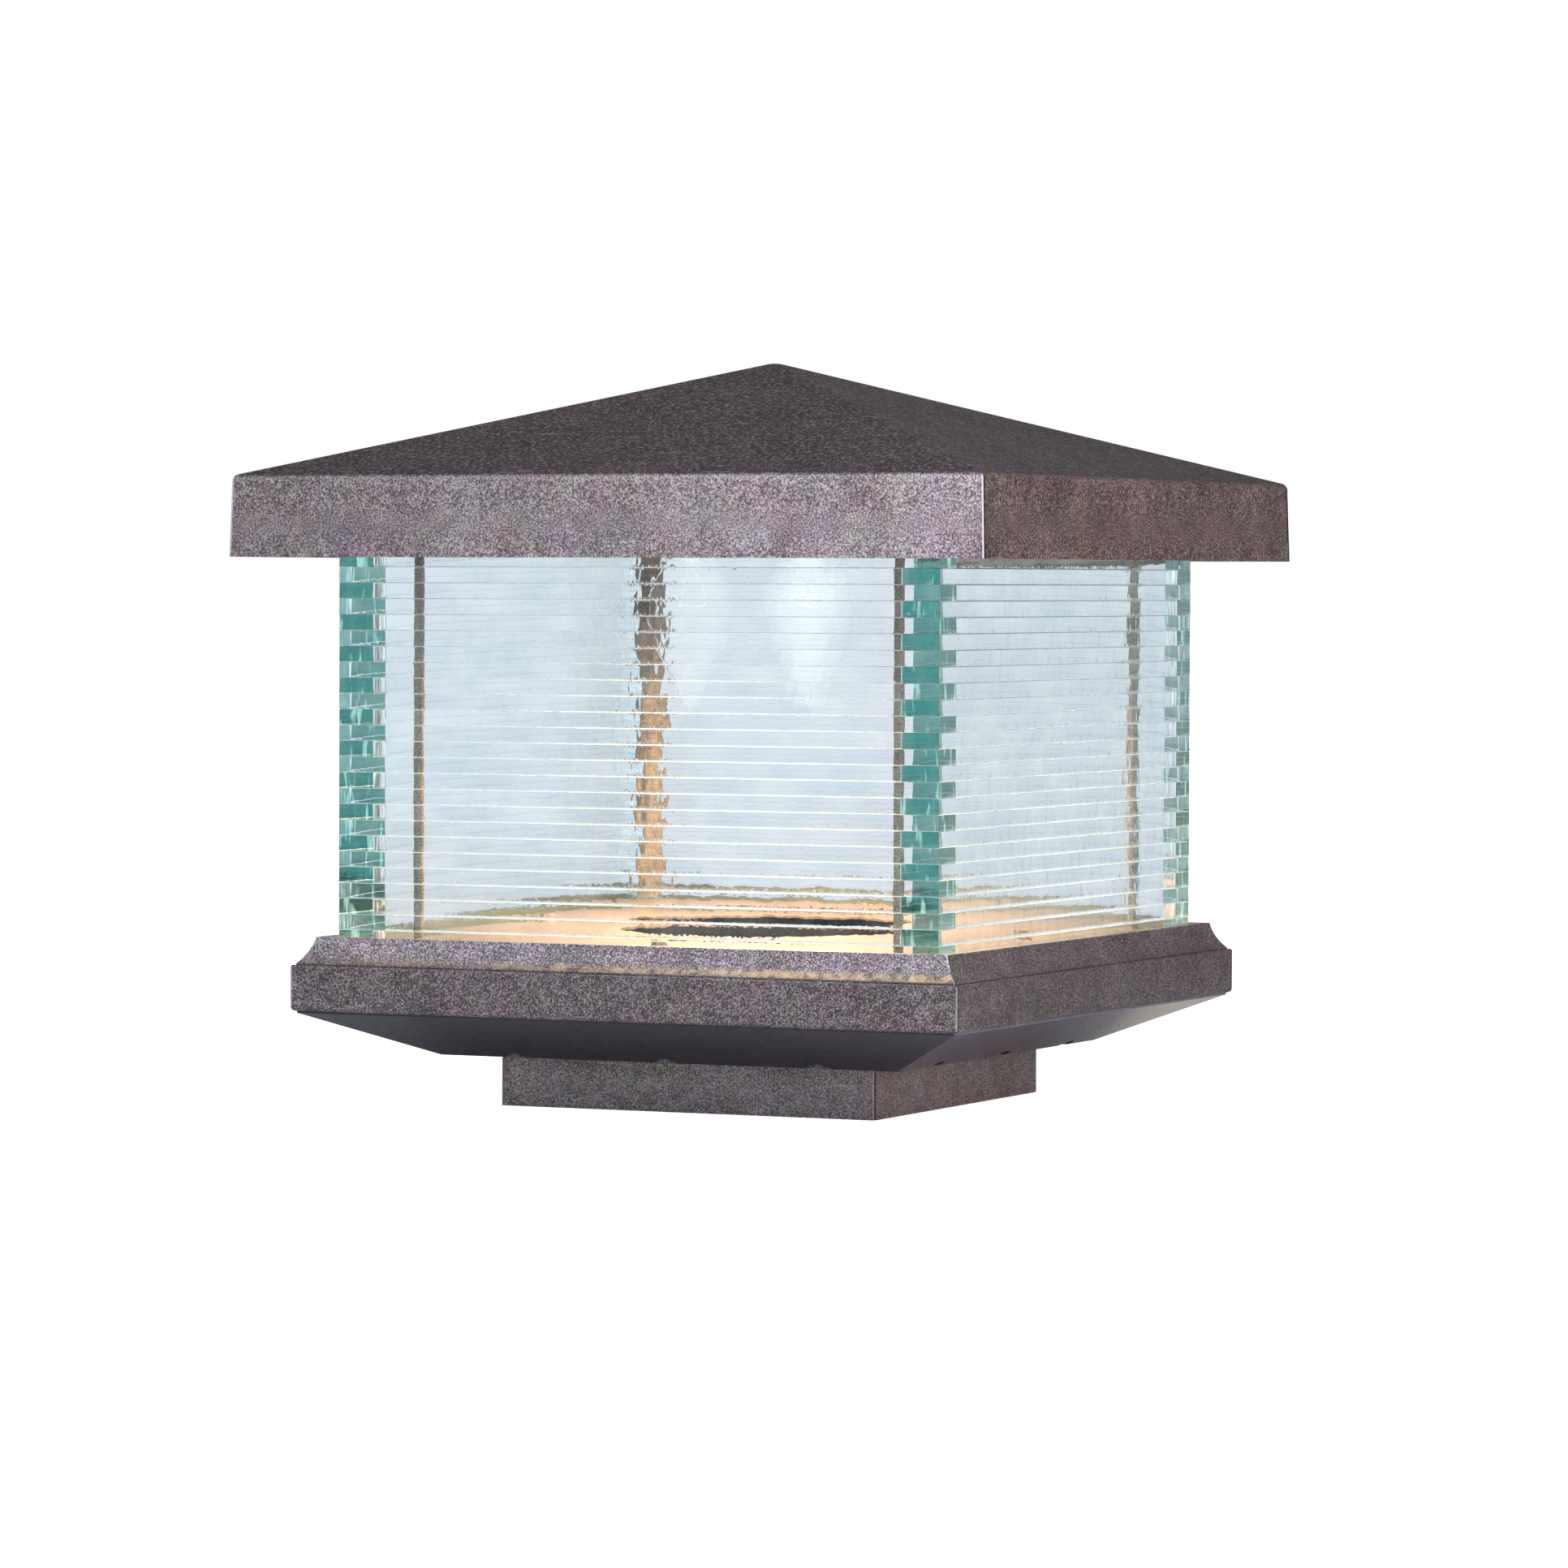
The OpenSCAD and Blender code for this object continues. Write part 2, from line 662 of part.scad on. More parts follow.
module socket_nipples() {
    color(steel) socket_spots() difference() {
        drill(nipple_d, socket_z1 - nipple_depth, bridge_z1 + nut_t + 1);
        drill(nipple_d - 3, socket_z1 - nipple_depth - over, bridge_z1 + nut_t + 1 + over);
    }
}

module nipple_nuts() {
    color(steel) socket_spots() translate([0, 0, bridge_z1])
        hex_nut(nipple_d + 2 * nut_play, nipple_d + 4, nut_t);
}

shell_bore_d = lamp_base_d + 2 * lamp_fit;
shell_t = 0.8;
cavity_d = shell_bore_d + 2 * shell_t + 2 * slip;
cavity_z1 = lamp_seat_z + 4;
lead_exit_black_z = cavity_z1 + 9;
lead_exit_white_z = cavity_z1 + 4;

// Moulded holder, mouth down, with a bead round the mouth and a waist under its cap
module lamp_holder(i) {
    r = socket_d / 2;
    color("#26221f") rotate(lamp_angles[i]) translate([lamp_ring_r, 0]) difference() {
        rotate_extrude() polygon([
            [0, socket_z0], [r - 1, socket_z0], [r, socket_z0 + 1], [r, socket_z0 + 4],
            [r - 1.2, socket_z0 + 5.2], [r - 1.2, cavity_z1], [r, cavity_z1 + 1.2],
            [r, socket_z1 - 3], [r - 3, socket_z1], [0, socket_z1]
        ]);
        drill(cavity_d, socket_z0 - over, cavity_z1);
        drill(nipple_d + 2 * nut_play, socket_z1 - nipple_depth, socket_z1 + over);
        for (w = [0, 1]) translate([0, 0, w == 0 ? lead_exit_black_z : lead_exit_white_z])
            rotate([0, 90, holder_exit_angles[i] - lamp_angles[i]])
                translate([0, 0, r - 3.5]) cylinder(d = lead_d + 0.2, h = 5);
    }
}

// Way that each holder's two leads leave it, towards the wire nuts
holder_exit_angles = [180, 80, 140];

module lamp_holder_1() { lamp_holder(0); }
module lamp_holder_2() { lamp_holder(1); }
module lamp_holder_3() { lamp_holder(2); }

module screw_shell(i) {
    color(brass) rotate(lamp_angles[i]) translate([lamp_ring_r, 0]) difference() {
        drill(shell_bore_d + 2 * shell_t, socket_z0 + 2, cavity_z1 - 2);
        drill(shell_bore_d, socket_z0, cavity_z1);
    }
}

module screw_shell_1() { screw_shell(0); }
module screw_shell_2() { screw_shell(1); }
module screw_shell_3() { screw_shell(2); }

// Spring tongue over each lamp's contact, hung from the cavity's roof
module centre_contacts() {
    low = lamp_seat_z + rest_gap;
    color(brass) socket_spots() rotate([90, 0, 0]) linear_extrude(4, center = true) polygon([
        [-4.5, cavity_z1], [-4.5, cavity_z1 - 0.5], [-3.2, cavity_z1 - 0.5], [-1.2, low],
        [1.6, low], [2.2, low + 0.7], [1.8, low + 0.9], [1.4, low + 0.5],
        [-0.9, low + 0.5], [-2.8, cavity_z1]
    ]);
}

// ---- Lamps: each hangs from its seat, base up and tip down ----

module place_lamp(i) {
    rotate(lamp_angles[i]) translate([lamp_ring_r, 0, lamp_seat_z]) rotate([180, 0, 0]) children();
}

base_l = 16;
neck_in = 1.5;        // how far the neck goes into the base
neck_r = lamp_base_d / 2 - 0.2;

// Half outline of the glass below its base, as [radius, distance from the seat]
function lamp_outline(inset) = [for (i = [0:16]) let (
        t = i / 16,
        swell = pow(sin(180 * pow(t, 0.78)), 2 - 1.3 * t),
        neck = neck_r * (1 - swell) * (1 - t) * (1 - t),
        r = max(neck + lamp_d / 2 * swell - inset, 0)
    ) [r, base_l + inset + (lamp_l - neck_in - 2 * inset) * t]];

module lamp_glass(i) {
    wall = 0.9;
    foot = base_l - neck_in;
    tip = foot + lamp_l;
    outer = lamp_outline(0);
    inner = lamp_outline(wall);
    color([0.95, 0.93, 0.85, 0.4]) place_lamp(i) difference() {
        rotate_extrude() polygon(concat([[0, foot], [neck_r, foot]], [for (p = outer) if (p.x > 0.01) p],
                                        [[0, tip]]));
        rotate_extrude() polygon(concat([[0, foot - over], [neck_r - wall, foot - over]],
                                        [for (p = inner) if (p.x > 0.6) p], [[0, tip - 3 * wall]]));
    }
}

module lamp_glass_1() { lamp_glass(0); }
module lamp_glass_2() { lamp_glass(1); }
module lamp_glass_3() { lamp_glass(2); }

// Screw base: contact, insulator and shell, with a cement-filled mouth round the neck
module lamp_base(i) {
    r = lamp_base_d / 2;
    color(brass) place_lamp(i) rotate_extrude() polygon([
        [0, 0], [1.8, 0], [2.2, 0.8], [3.6, 1.6], [r - 0.9, 3], [r, 4.2], [r, base_l],
        [neck_r + nut_play, base_l], [neck_r + nut_play, base_l - neck_in], [0, base_l - neck_in]
    ]);
}

module lamp_base_1() { lamp_base(0); }
module lamp_base_2() { lamp_base(1); }
module lamp_base_3() { lamp_base(2); }

// Glass stem with two lead-in wires and the filament between them
module lamp_filament(i) {
    stem_z = base_l - neck_in;
    stem_l = 16;
    wire_d = 0.6;
    spread = 5;
    top = stem_z + stem_l + 17;
    color("#ffcf8a") place_lamp(i) {
        translate([0, 0, stem_z]) cylinder(d1 = 7, d2 = 4, h = stem_l);
        for (x = [-1, 1]) translate([x * 1.2, 0, stem_z + stem_l - over])
            rotate([0, x * atan2(spread - 1.2, 18), 0]) cylinder(d = wire_d, h = norm([spread - 1.2, 18]));
        translate([-spread - wire_d / 2, 0, top]) rotate([0, 90, 0])
            cylinder(d = 1.1, h = 2 * spread + wire_d);
    }
}

module lamp_filament_1() { lamp_filament(0); }
module lamp_filament_2() { lamp_filament(1); }
module lamp_filament_3() { lamp_filament(2); }

// ---- Leads and wire nuts ----

// Each nut lies on a sheet with its mouth at a point; turn 0 puts its tail along -X
nut_r = 6.2;
nut_bore_r = 3.7;
nut_l = 22;
in_nut = 8;
upper_nut_z = soffit_z1 + nut_r + rest_gap / 3;
lower_nut_z = pan_z + pan_t + nut_r + rest_gap / 3;
upper_nut_x = -84;
upper_nut_y = 50;
upper_nut_pitch = 26;
lower_nut_x = -42;
lower_nut_y = 26;
lower_nut_pitch = 20;
ground_nut_x = 38;
ground_nut_y = -32;
bond_x = -12;
bond_y = -46;
bond_screw_l = 4.6;
nut_run = 8;          // straight stretch of lead before a wire nut
loop_x = 26;          // slack of the supply leads over the soffit
loop_y = 12;
loop_z = 6;
foot_run = 26;        // slack of the supply leads in the base
foot_drop = 20;
holder_run = 22;      // slack of the leads from the lamp holders
holder_slack = 26;
nut_black = [upper_nut_x, upper_nut_y, upper_nut_z];
nut_white = [upper_nut_x, upper_nut_y + upper_nut_pitch, upper_nut_z];
splice_black = [lower_nut_x, lower_nut_y, lower_nut_z];
splice_white = [lower_nut_x, lower_nut_y + lower_nut_pitch, lower_nut_z];
splice_ground = [ground_nut_x, ground_nut_y, lower_nut_z];

module wire_nut(mouth, turn) {
    translate(mouth) rotate([0, 0, turn]) rotate([0, -90, 0]) difference() {
        rotate_extrude() polygon([
            [0, 0], [nut_r, 0], [nut_r, 4], [nut_r - 0.8, 5], [nut_r - 2, nut_l - 2],
            [nut_r - 3.2, nut_l], [0, nut_l]
        ]);
        translate([0, 0, -over]) cylinder(r = nut_bore_r, h = in_nut + 4 + over);
    }
}

module wire_nuts() {
    color("#c9702c") {
        wire_nut(nut_black, 0);
        wire_nut(nut_white, 0);
        wire_nut(splice_black, 180);
        wire_nut(splice_white, 180);
        wire_nut(splice_ground, 90);
    }
}

// Place of the k-th lead inside a nut's mouth
function in_mouth(mouth, k) = mouth + 2.2 * [0, cos(45 + 90 * k), sin(45 + 90 * k)];

// From a splice in the base, up the conduit and over into the nut on the soffit
function supply_path(splice, side, mouth, rise) =
    let (
        foot = [conduit_at.x + side * 2, conduit_at.y, conduit_z0 - 6],
        top = [foot.x, foot.y, conduit_z1 + 4],
        end = in_mouth(mouth, 3),
        out = splice - [in_nut + nut_run, 0, 0]
    )
    concat(
        [splice + [in_nut, 0, 0], splice, out],
        bend(out, out - [foot_run, 0, 0], foot - [0, 0, foot_drop], foot),
        [foot + [0, 0, nut_run], top - [0, 0, lead_d]],
        bend(top - [0, 0, lead_d], top + [0, 0, rise], end + [nut_run + loop_x, loop_y, loop_z],
             end + [nut_run, 0, 0], 14),
        [end, end - [in_nut, 0, 0]]
    );

module supply_lead_black() {
    color("#1b1b1d") lead(supply_path(splice_black, -1, nut_black, 12), [0, 0, 1]);
}

module supply_lead_white() {
    color("#e4e2da") lead(supply_path(splice_white, 1, nut_white, 8), [0, 0, 1]);
}

// From the side of a holder into a nut on the soffit
function holder_path(i, z, mouth, k) =
    let (
        a = holder_exit_angles[i],
        out = [cos(a), sin(a), 0],
        hub = lamp_ring_r * [cos(lamp_angles[i]), sin(lamp_angles[i]), 0] + [0, 0, z],
        start = hub + (socket_d / 2 - 3) * out,
        clear = hub + (socket_d / 2 + 2) * out,
        end = in_mouth(mouth, k)
    )
    concat(
        [start, clear],
        bend(clear, clear + holder_run * out, end + [nut_run / 2 + holder_slack, 0, lead_d],
             end + [nut_run / 2, 0, 0], 10),
        [end, end - [in_nut, 0, 0]]
    );

module holder_leads_black() {
    color("#1b1b1d") for (i = [0:2])
        lead(holder_path(i, lead_exit_black_z, nut_black, i), [0, 0, 1]);
}

module holder_leads_white() {
    color("#e4e2da") for (i = [0:2])
        lead(holder_path(i, lead_exit_white_z, nut_white, i), [0, 0, 1]);
}

module bond_spot() {
    translate([bond_x, bond_y]) children();
}

module bond_screw() {
    color("#3f8f4a") bond_spot() translate([0, 0, pan_z + pan_t]) pan_screw(screw_d, bond_screw_l);
}

// Green lead from beside the bond screw to its wire nut
module ground_lead() {
    start = [bond_x + screw_head_d / 2 + slip, bond_y, pan_z + pan_t + lead_d / 2];
    end = splice_ground + [0, 1, 0];
    color("#3f8f4a") lead(concat(
        [start, start + [2, 0, 0]],
        bend(start + [2, 0, 0], start + [26, 0, 0], end + [0, 22, 0], end, 12),
        [end - [0, in_nut, 0]]
    ), [0, 0, 1]);
}

// ---- Roof ----

// Half outline of the roof from its foot to its peak, set inwards by a distance
function roof_outline(inset) =
    let (
        foot = [roof_foot_half - inset, roof_z0 - inset],
        fold_x = roof_fold_half - inset,
        top_z = roof_z1 + roof_fold_half * tan(roof_pitch) - inset / cos(roof_pitch),
        fold = [fold_x, top_z - fold_x * tan(roof_pitch)],
        tip_r = peak_r - inset,
        tip = [0, top_z - tip_r / cos(roof_pitch)]
    )
    concat(
        [foot],
        rounded(foot, fold, [0, top_z], fold_r - inset, 5),
        [for (i = [0:4]) tip + tip_r * [i == 4 ? 0 : sin(roof_pitch * (1 - i / 4)),
                                        cos(roof_pitch * (1 - i / 4))]]
    );

module roof_cap() {
    color(bronze) difference() {
        intersection() {
            mitred(roof_outline(0));
            slab(reach, roof_z0, 2 * reach);
        }
        mitred(roof_outline(roof_t));
    }
}

module roof_screw_spots() {
    for (x = [-1, 1], y = [-1, 1]) translate([x * roof_screw_xy, y * roof_screw_xy]) children();
}

// Angle welded inside each corner of the fascia; its foot rests over the soffit
module roof_corner_clips() {
    clip_t = 1.6;
    foot_z = soffit_z1 + rest_gap;
    clip_z1 = roof_z1 - fold_r - 2;
    clip_in = roof_screw_xy - 12;
    color(bronze_dark) difference() {
        intersection() {
            mitred([
                [fascia_inside(foot_z) - slip, foot_z], [fascia_inside(clip_z1) - slip, clip_z1]
            ]);
            for (x = [-1, 1], y = [-1, 1]) scale([x, y, 1])
                translate([clip_in, clip_in, foot_z]) cube([reach, reach, clip_z1 - foot_z]);
        }
        slab(fascia_inside(clip_z1) - slip - clip_t, foot_z + clip_t, clip_z1 + over);
        roof_screw_spots() drill(screw_d + 4 * hole_play, foot_z - over, foot_z + clip_t + over);
    }
}

// Captive screws that come up through the soffit into the clips
module roof_screws() {
    color(bronze_dark) roof_screw_spots() translate([0, 0, soffit_z0]) rotate([180, 0, 0])
        pan_screw(screw_d, roof_screw_l);
}

collar();
base_pan();
base_frame();
floor_plate();
floor_screws();
collar_rivets();
wire_bushing();
crossbar();
ground_screw();
mounting_studs();
stud_washers();
stud_nuts();
glass_gasket_bottom();
glass_wall_front();
glass_wall_back();
glass_wall_left();
glass_wall_right();
glass_gasket_top();
tie_rod_front_left();
tie_rod_front_right();
tie_rod_back_right();
rod_washers();
rod_nuts();
wire_conduit();
conduit_locknuts();
conduit_end_bushing();
soffit_plate();
socket_bridge();
bridge_screws();
socket_nipples();
nipple_nuts();
lamp_holder_1();
lamp_holder_2();
lamp_holder_3();
screw_shell_1();
screw_shell_2();
screw_shell_3();
centre_contacts();
lamp_glass_1();
lamp_glass_2();
lamp_glass_3();
lamp_base_1();
lamp_base_2();
lamp_base_3();
lamp_filament_1();
lamp_filament_2();
lamp_filament_3();
supply_lead_black();
supply_lead_white();
holder_leads_black();
holder_leads_white();
ground_lead();
bond_screw();
wire_nuts();
roof_cap();
roof_corner_clips();
roof_screws();
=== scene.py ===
import math

import bmesh
import bpy
from mathutils import Matrix, Vector


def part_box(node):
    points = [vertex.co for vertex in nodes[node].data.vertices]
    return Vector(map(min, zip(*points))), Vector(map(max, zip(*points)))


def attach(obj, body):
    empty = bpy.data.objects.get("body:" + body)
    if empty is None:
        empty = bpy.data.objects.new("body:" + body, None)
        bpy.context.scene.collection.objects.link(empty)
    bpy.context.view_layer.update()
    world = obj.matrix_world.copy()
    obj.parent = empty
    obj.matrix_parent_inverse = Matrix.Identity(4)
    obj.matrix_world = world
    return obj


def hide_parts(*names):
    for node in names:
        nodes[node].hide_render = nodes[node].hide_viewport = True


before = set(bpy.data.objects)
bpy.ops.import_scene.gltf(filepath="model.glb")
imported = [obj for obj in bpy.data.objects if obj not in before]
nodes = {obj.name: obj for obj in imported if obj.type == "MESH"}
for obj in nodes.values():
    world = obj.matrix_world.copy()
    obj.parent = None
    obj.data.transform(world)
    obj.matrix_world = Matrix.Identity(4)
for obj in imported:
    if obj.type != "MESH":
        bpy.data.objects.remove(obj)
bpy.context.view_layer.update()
scene = bpy.context.scene

# ---- Camera ----
# A long lens 2.74 m away, with its eye just under the eaves, that looks at the front right corner.
# Lengths are in metres and angles in radians.
turn, distance, eye_height = 0.4367, 2.740, 0.2149
pan, roll, pitch = 0.0015, 0.0036, -0.0309
ahead = Vector((-math.sin(turn), math.cos(turn), 0))
aside = Vector((math.cos(turn), math.sin(turn), 0))
look = (ahead * math.cos(pan) + aside * math.sin(pan)) * math.cos(pitch)
look.z = math.sin(pitch)
level_right = look.cross(Vector((0, 0, 1))).normalized()
level_up = level_right.cross(look)
right = level_right * math.cos(roll) + level_up * math.sin(roll)
up = level_up * math.cos(roll) - level_right * math.sin(roll)
camera = bpy.data.objects.new("camera", bpy.data.cameras.new("camera"))
scene.collection.objects.link(camera)
camera.data.lens, camera.data.sensor_width = 152.3, 36.0
camera.data.clip_start, camera.data.clip_end = 0.05, 200.0
stand = Matrix.Translation(-distance * ahead + Vector((0, 0, eye_height)))
camera.matrix_world = stand @ Matrix((right, up, -look)).transposed().to_4x4()
scene.camera = camera

# ---- Studio ----
# A white sweep, a very soft cool key light from the front left and a dim warm one from the right.
# What shows behind the glass is white, while the light that falls on the metal is dimmer.


def linear(hex_colour):
    """A colour given as sRGB hex, as the linear red, green, blue and alpha that Blender mixes."""
    parts = [int(hex_colour[i:i + 2], 16) / 255 for i in (1, 3, 5)]
    return [p / 12.92 if p <= 0.04045 else ((p + 0.055) / 1.055) ** 2.4 for p in parts] + [1.0]


def add(tree, kind, feeds=None, **settings):
    """Adds a node to a tree, with its settings, and gives its inputs their values or links."""
    node = tree.nodes.new(kind)
    for name, value in settings.items():
        setattr(node, name, value)
    for name, value in (feeds or {}).items():
        if isinstance(value, bpy.types.NodeSocket):
            tree.links.new(value, node.inputs[name])
        else:
            node.inputs[name].default_value = value
    return node


bounces = 40    # enough to cross two walls of stacked strips
scene.view_settings.view_transform = "Standard"
scene.cycles.max_bounces = scene.cycles.transmission_bounces = bounces
scene.cycles.glossy_bounces = scene.cycles.transparent_max_bounces = bounces

white = linear("#ffffff")
behind_glass = linear("#faf0fd")    # a breath of violet, which the glass's green evens out
world = bpy.data.worlds.new("studio")
scene.world = world
world.use_nodes = True
tree = world.node_tree
tree.nodes.clear()
ray = add(tree, "ShaderNodeLightPath")
dim = add(tree, "ShaderNodeBackground", {"Color": linear("#bbbbc0"), "Strength": 0.52})
seen = add(tree, "ShaderNodeBackground", {"Color": white, "Strength": 1.0})
through = add(tree, "ShaderNodeBackground", {"Color": behind_glass, "Strength": 1.0})
lit = add(tree, "ShaderNodeMixShader",
          {0: ray.outputs["Is Transmission Ray"], 1: dim.outputs[0], 2: through.outputs[0]})
shown = add(tree, "ShaderNodeMixShader",
            {0: ray.outputs["Is Camera Ray"], 1: lit.outputs[0], 2: seen.outputs[0]})
add(tree, "ShaderNodeOutputWorld", {"Surface": shown.outputs[0]})

# Paper, overexposed: pure white to the eye, and a pale matt floor to the light.
sweep_width = 60
bpy.ops.object.select_all(action="DESELECT")
bpy.ops.mesh.primitive_plane_add(size=sweep_width, location=(0, 0, 0))
floor = bpy.context.object
floor.name = floor.data.name = "studio_floor"
paper = bpy.data.materials.new("paper_sweep_overexposed")
paper.use_nodes = True
tree = paper.node_tree
tree.nodes.clear()
ray = add(tree, "ShaderNodeLightPath")
matt = add(tree, "ShaderNodeBsdfDiffuse", {"Color": linear("#e7e7e7")})
burnt_out = add(tree, "ShaderNodeEmission", {"Color": white, "Strength": 1.0})
brighter = add(tree, "ShaderNodeAddShader", {0: matt.outputs[0], 1: burnt_out.outputs[0]})
behind = add(tree, "ShaderNodeEmission", {"Color": behind_glass, "Strength": 1.0})
lit = add(tree, "ShaderNodeMixShader",
          {0: ray.outputs["Is Camera Ray"], 1: matt.outputs[0], 2: brighter.outputs[0]})
shown = add(tree, "ShaderNodeMixShader",
            {0: ray.outputs["Is Transmission Ray"], 1: lit.outputs[0], 2: behind.outputs[0]})
add(tree, "ShaderNodeOutputMaterial", {"Surface": shown.outputs[0]})
floor.data.materials.append(paper)

sun_strength, sun_spread = 1.0, math.radians(50)
for name, azimuth, elevation, colour in (("sky_light", -32, 34, "#eaf7ff"),
                                         ("warm_fill", 92, 5, "#ffe6d6")):
    sun = bpy.data.objects.new(name, bpy.data.lights.new(name, "SUN"))
    scene.collection.objects.link(sun)
    sun.data.energy, sun.data.angle, sun.data.color = sun_strength, sun_spread, linear(colour)[:3]
    a, e = math.radians(azimuth), math.radians(elevation)
    towards = Vector((math.sin(a) * math.cos(e), -math.cos(a) * math.cos(e), math.sin(e)))
    sun.rotation_euler = towards.to_track_quat("Z", "Y").to_euler()

softbox = bpy.data.objects.new("softbox", bpy.data.lights.new("softbox", "AREA"))
scene.collection.objects.link(softbox)
softbox.location = (0.38, -0.80, 0.84)
aim = Vector((0.05, 0, 0.15))
softbox.rotation_euler = (softbox.location - aim).to_track_quat("Z", "Y").to_euler()
softbox.data.size, softbox.data.energy = 0.6, 7.6
softbox.data.color = linear("#f9f9ff")[:3]

# ---- Collar ----
# The square foot that stands on the post: steel sheet bent from a strip, in the same hand-rubbed
# bronze paint as the rest of the light.


def rubbed_bronze(name, dark, middle, light, rough=0.52, metal=0.35, seams=0.0):
    """Bronze paint on steel, rubbed back by hand: a mottled satin with a fine light grain.

    Seams is how much an upright corner shows its lighter lip, worn and with a painted highlight,
    and, behind it, its dark joint.
    """
    grain, blotches, clouds, stains = 1450.0, 210.0, 34.0, 55.0    # one to 0.7, 5, 29 and 18 mm
    lip_outside, lip_inside = -0.0008, -0.0005
    joint_middle, joint_half = 0.0008, 0.0007
    upright_below, lying_above = 0.25, 0.5
    material = bpy.data.materials.new(name)
    material.use_nodes = True
    tree = material.node_tree
    skin = tree.nodes["Principled BSDF"]
    place = add(tree, "ShaderNodeTexCoord")
    speck = add(tree, "ShaderNodeTexNoise",
                {"Vector": place.outputs["Object"], "Scale": grain, "Detail": 2.0,
                 "Roughness": 0.7})
    blotch = add(tree, "ShaderNodeTexNoise",
                 {"Vector": place.outputs["Object"], "Scale": blotches, "Detail": 4.0,
                  "Roughness": 0.65, "Distortion": 0.3})
    cloud = add(tree, "ShaderNodeTexNoise",
                {"Vector": place.outputs["Object"], "Scale": clouds, "Detail": 3.0,
                 "Roughness": 0.55})
    fine = add(tree, "ShaderNodeMapRange",
               {"Value": speck.outputs["Fac"], "From Min": 0.28, "From Max": 0.72,
                "To Min": -0.8, "To Max": 0.8}, clamp=False)
    middling = add(tree, "ShaderNodeMath", {0: blotch.outputs["Fac"], 1: 0.7, 2: fine.outputs[0]},
                   operation="MULTIPLY_ADD")
    broad = add(tree, "ShaderNodeMath", {0: cloud.outputs["Fac"], 1: 0.5, 2: middling.outputs[0]},
                operation="MULTIPLY_ADD")
    share = add(tree, "ShaderNodeMapRange",
                {"Value": broad.outputs[0], "From Min": 0.06, "From Max": 1.14})
    tint = add(tree, "ShaderNodeValToRGB", {"Fac": share.outputs[0]})
    tint.color_ramp.elements[0].color = linear(dark)
    tint.color_ramp.elements[1].color = linear(light)
    tint.color_ramp.elements.new(0.5).color = linear(middle)
    stain = add(tree, "ShaderNodeTexNoise",
                {"Vector": place.outputs["Object"], "Scale": stains, "Detail": 2.0})
    stained = add(tree, "ShaderNodeMix",
                  {0: 0.14, 6: tint.outputs[0], 7: stain.outputs["Color"]},
                  data_type="RGBA", blend_type="OVERLAY")
    # How far a point lies past the corner, which is where X and Y are as large as each other.
    spot = add(tree, "ShaderNodeSeparateXYZ", {0: place.outputs["Object"]})
    off_x = add(tree, "ShaderNodeMath", {0: spot.outputs["X"]}, operation="ABSOLUTE")
    off_y = add(tree, "ShaderNodeMath", {0: spot.outputs["Y"]}, operation="ABSOLUTE")
    past = add(tree, "ShaderNodeMath", {0: off_x.outputs[0], 1: off_y.outputs[0]},
               operation="SUBTRACT")
    outwards = add(tree, "ShaderNodeNewGeometry").outputs["True Normal"]
    facing = add(tree, "ShaderNodeSeparateXYZ", {0: outwards})
    tilt = add(tree, "ShaderNodeMath", {0: facing.outputs["Z"]}, operation="ABSOLUTE")
    upright = add(tree, "ShaderNodeMapRange",
                  {"Value": tilt.outputs[0], "From Min": upright_below, "From Max": lying_above,
                   "To Min": seams, "To Max": 0.0})
    # The lip is painted lighter: partly wear, partly a painted highlight where the rounded corner
    # catches the light.
    lip = add(tree, "ShaderNodeMapRange",
              {"Value": past.outputs[0], "From Min": lip_outside, "From Max": lip_inside})
    before = add(tree, "ShaderNodeMath", {0: past.outputs[0], 1: 0.0}, operation="LESS_THAN")
    lips = add(tree, "ShaderNodeMath", {0: lip.outputs[0], 1: before.outputs[0]},
               operation="MULTIPLY")
    lip_wear_and_highlight = add(tree, "ShaderNodeMath", {0: lips.outputs[0], 1: upright.outputs[0]},
               operation="MULTIPLY")
    lip_lightened = add(tree, "ShaderNodeMix",
                   {0: lip_wear_and_highlight.outputs[0], 6: stained.outputs[2], 7: linear("#d0c9d2")},
                   data_type="RGBA")
    gap = add(tree, "ShaderNodeMath", {0: past.outputs[0], 1: joint_middle, 2: joint_half},
              operation="COMPARE")
    inked = add(tree, "ShaderNodeMath", {0: gap.outputs[0], 1: upright.outputs[0]},
                operation="MULTIPLY")
    seamed = add(tree, "ShaderNodeMix",
                 {0: inked.outputs[0], 6: lip_lightened.outputs[2], 7: linear("#241f2c")},
                 data_type="RGBA")
    tree.links.new(seamed.outputs[2], skin.inputs["Base Color"])
    gloss = add(tree, "ShaderNodeMapRange",
                {"Value": blotch.outputs["Fac"], "From Min": 0.3, "From Max": 0.7,
                 "To Min": rough - 0.06, "To Max": rough + 0.08})
    tree.links.new(gloss.outputs[0], skin.inputs["Roughness"])
    skin.inputs["Metallic"].default_value = metal
    bump = add(tree, "ShaderNodeBump",
               {"Height": speck.outputs["Fac"], "Distance": 0.00004, "Strength": 0.8})
    tree.links.new(bump.outputs[0], skin.inputs["Normal"])
    return material


def finish_nodes(material, *names):
    """Gives CAD nodes their finish."""
    for name in names:
        for slot in nodes[name].material_slots:
            slot.material = material


collar_bronze = rubbed_bronze("hand_rubbed_bronze_collar", "#594f51", "#9c8f92", "#ddd4d8",
                              seams=0.8)
finish_nodes(collar_bronze, "collar")

# ---- Mounting hardware ----
# Zinc plated steel: a pressed crossbar with its studs, washers and nuts, and green dyed ground
# screws.


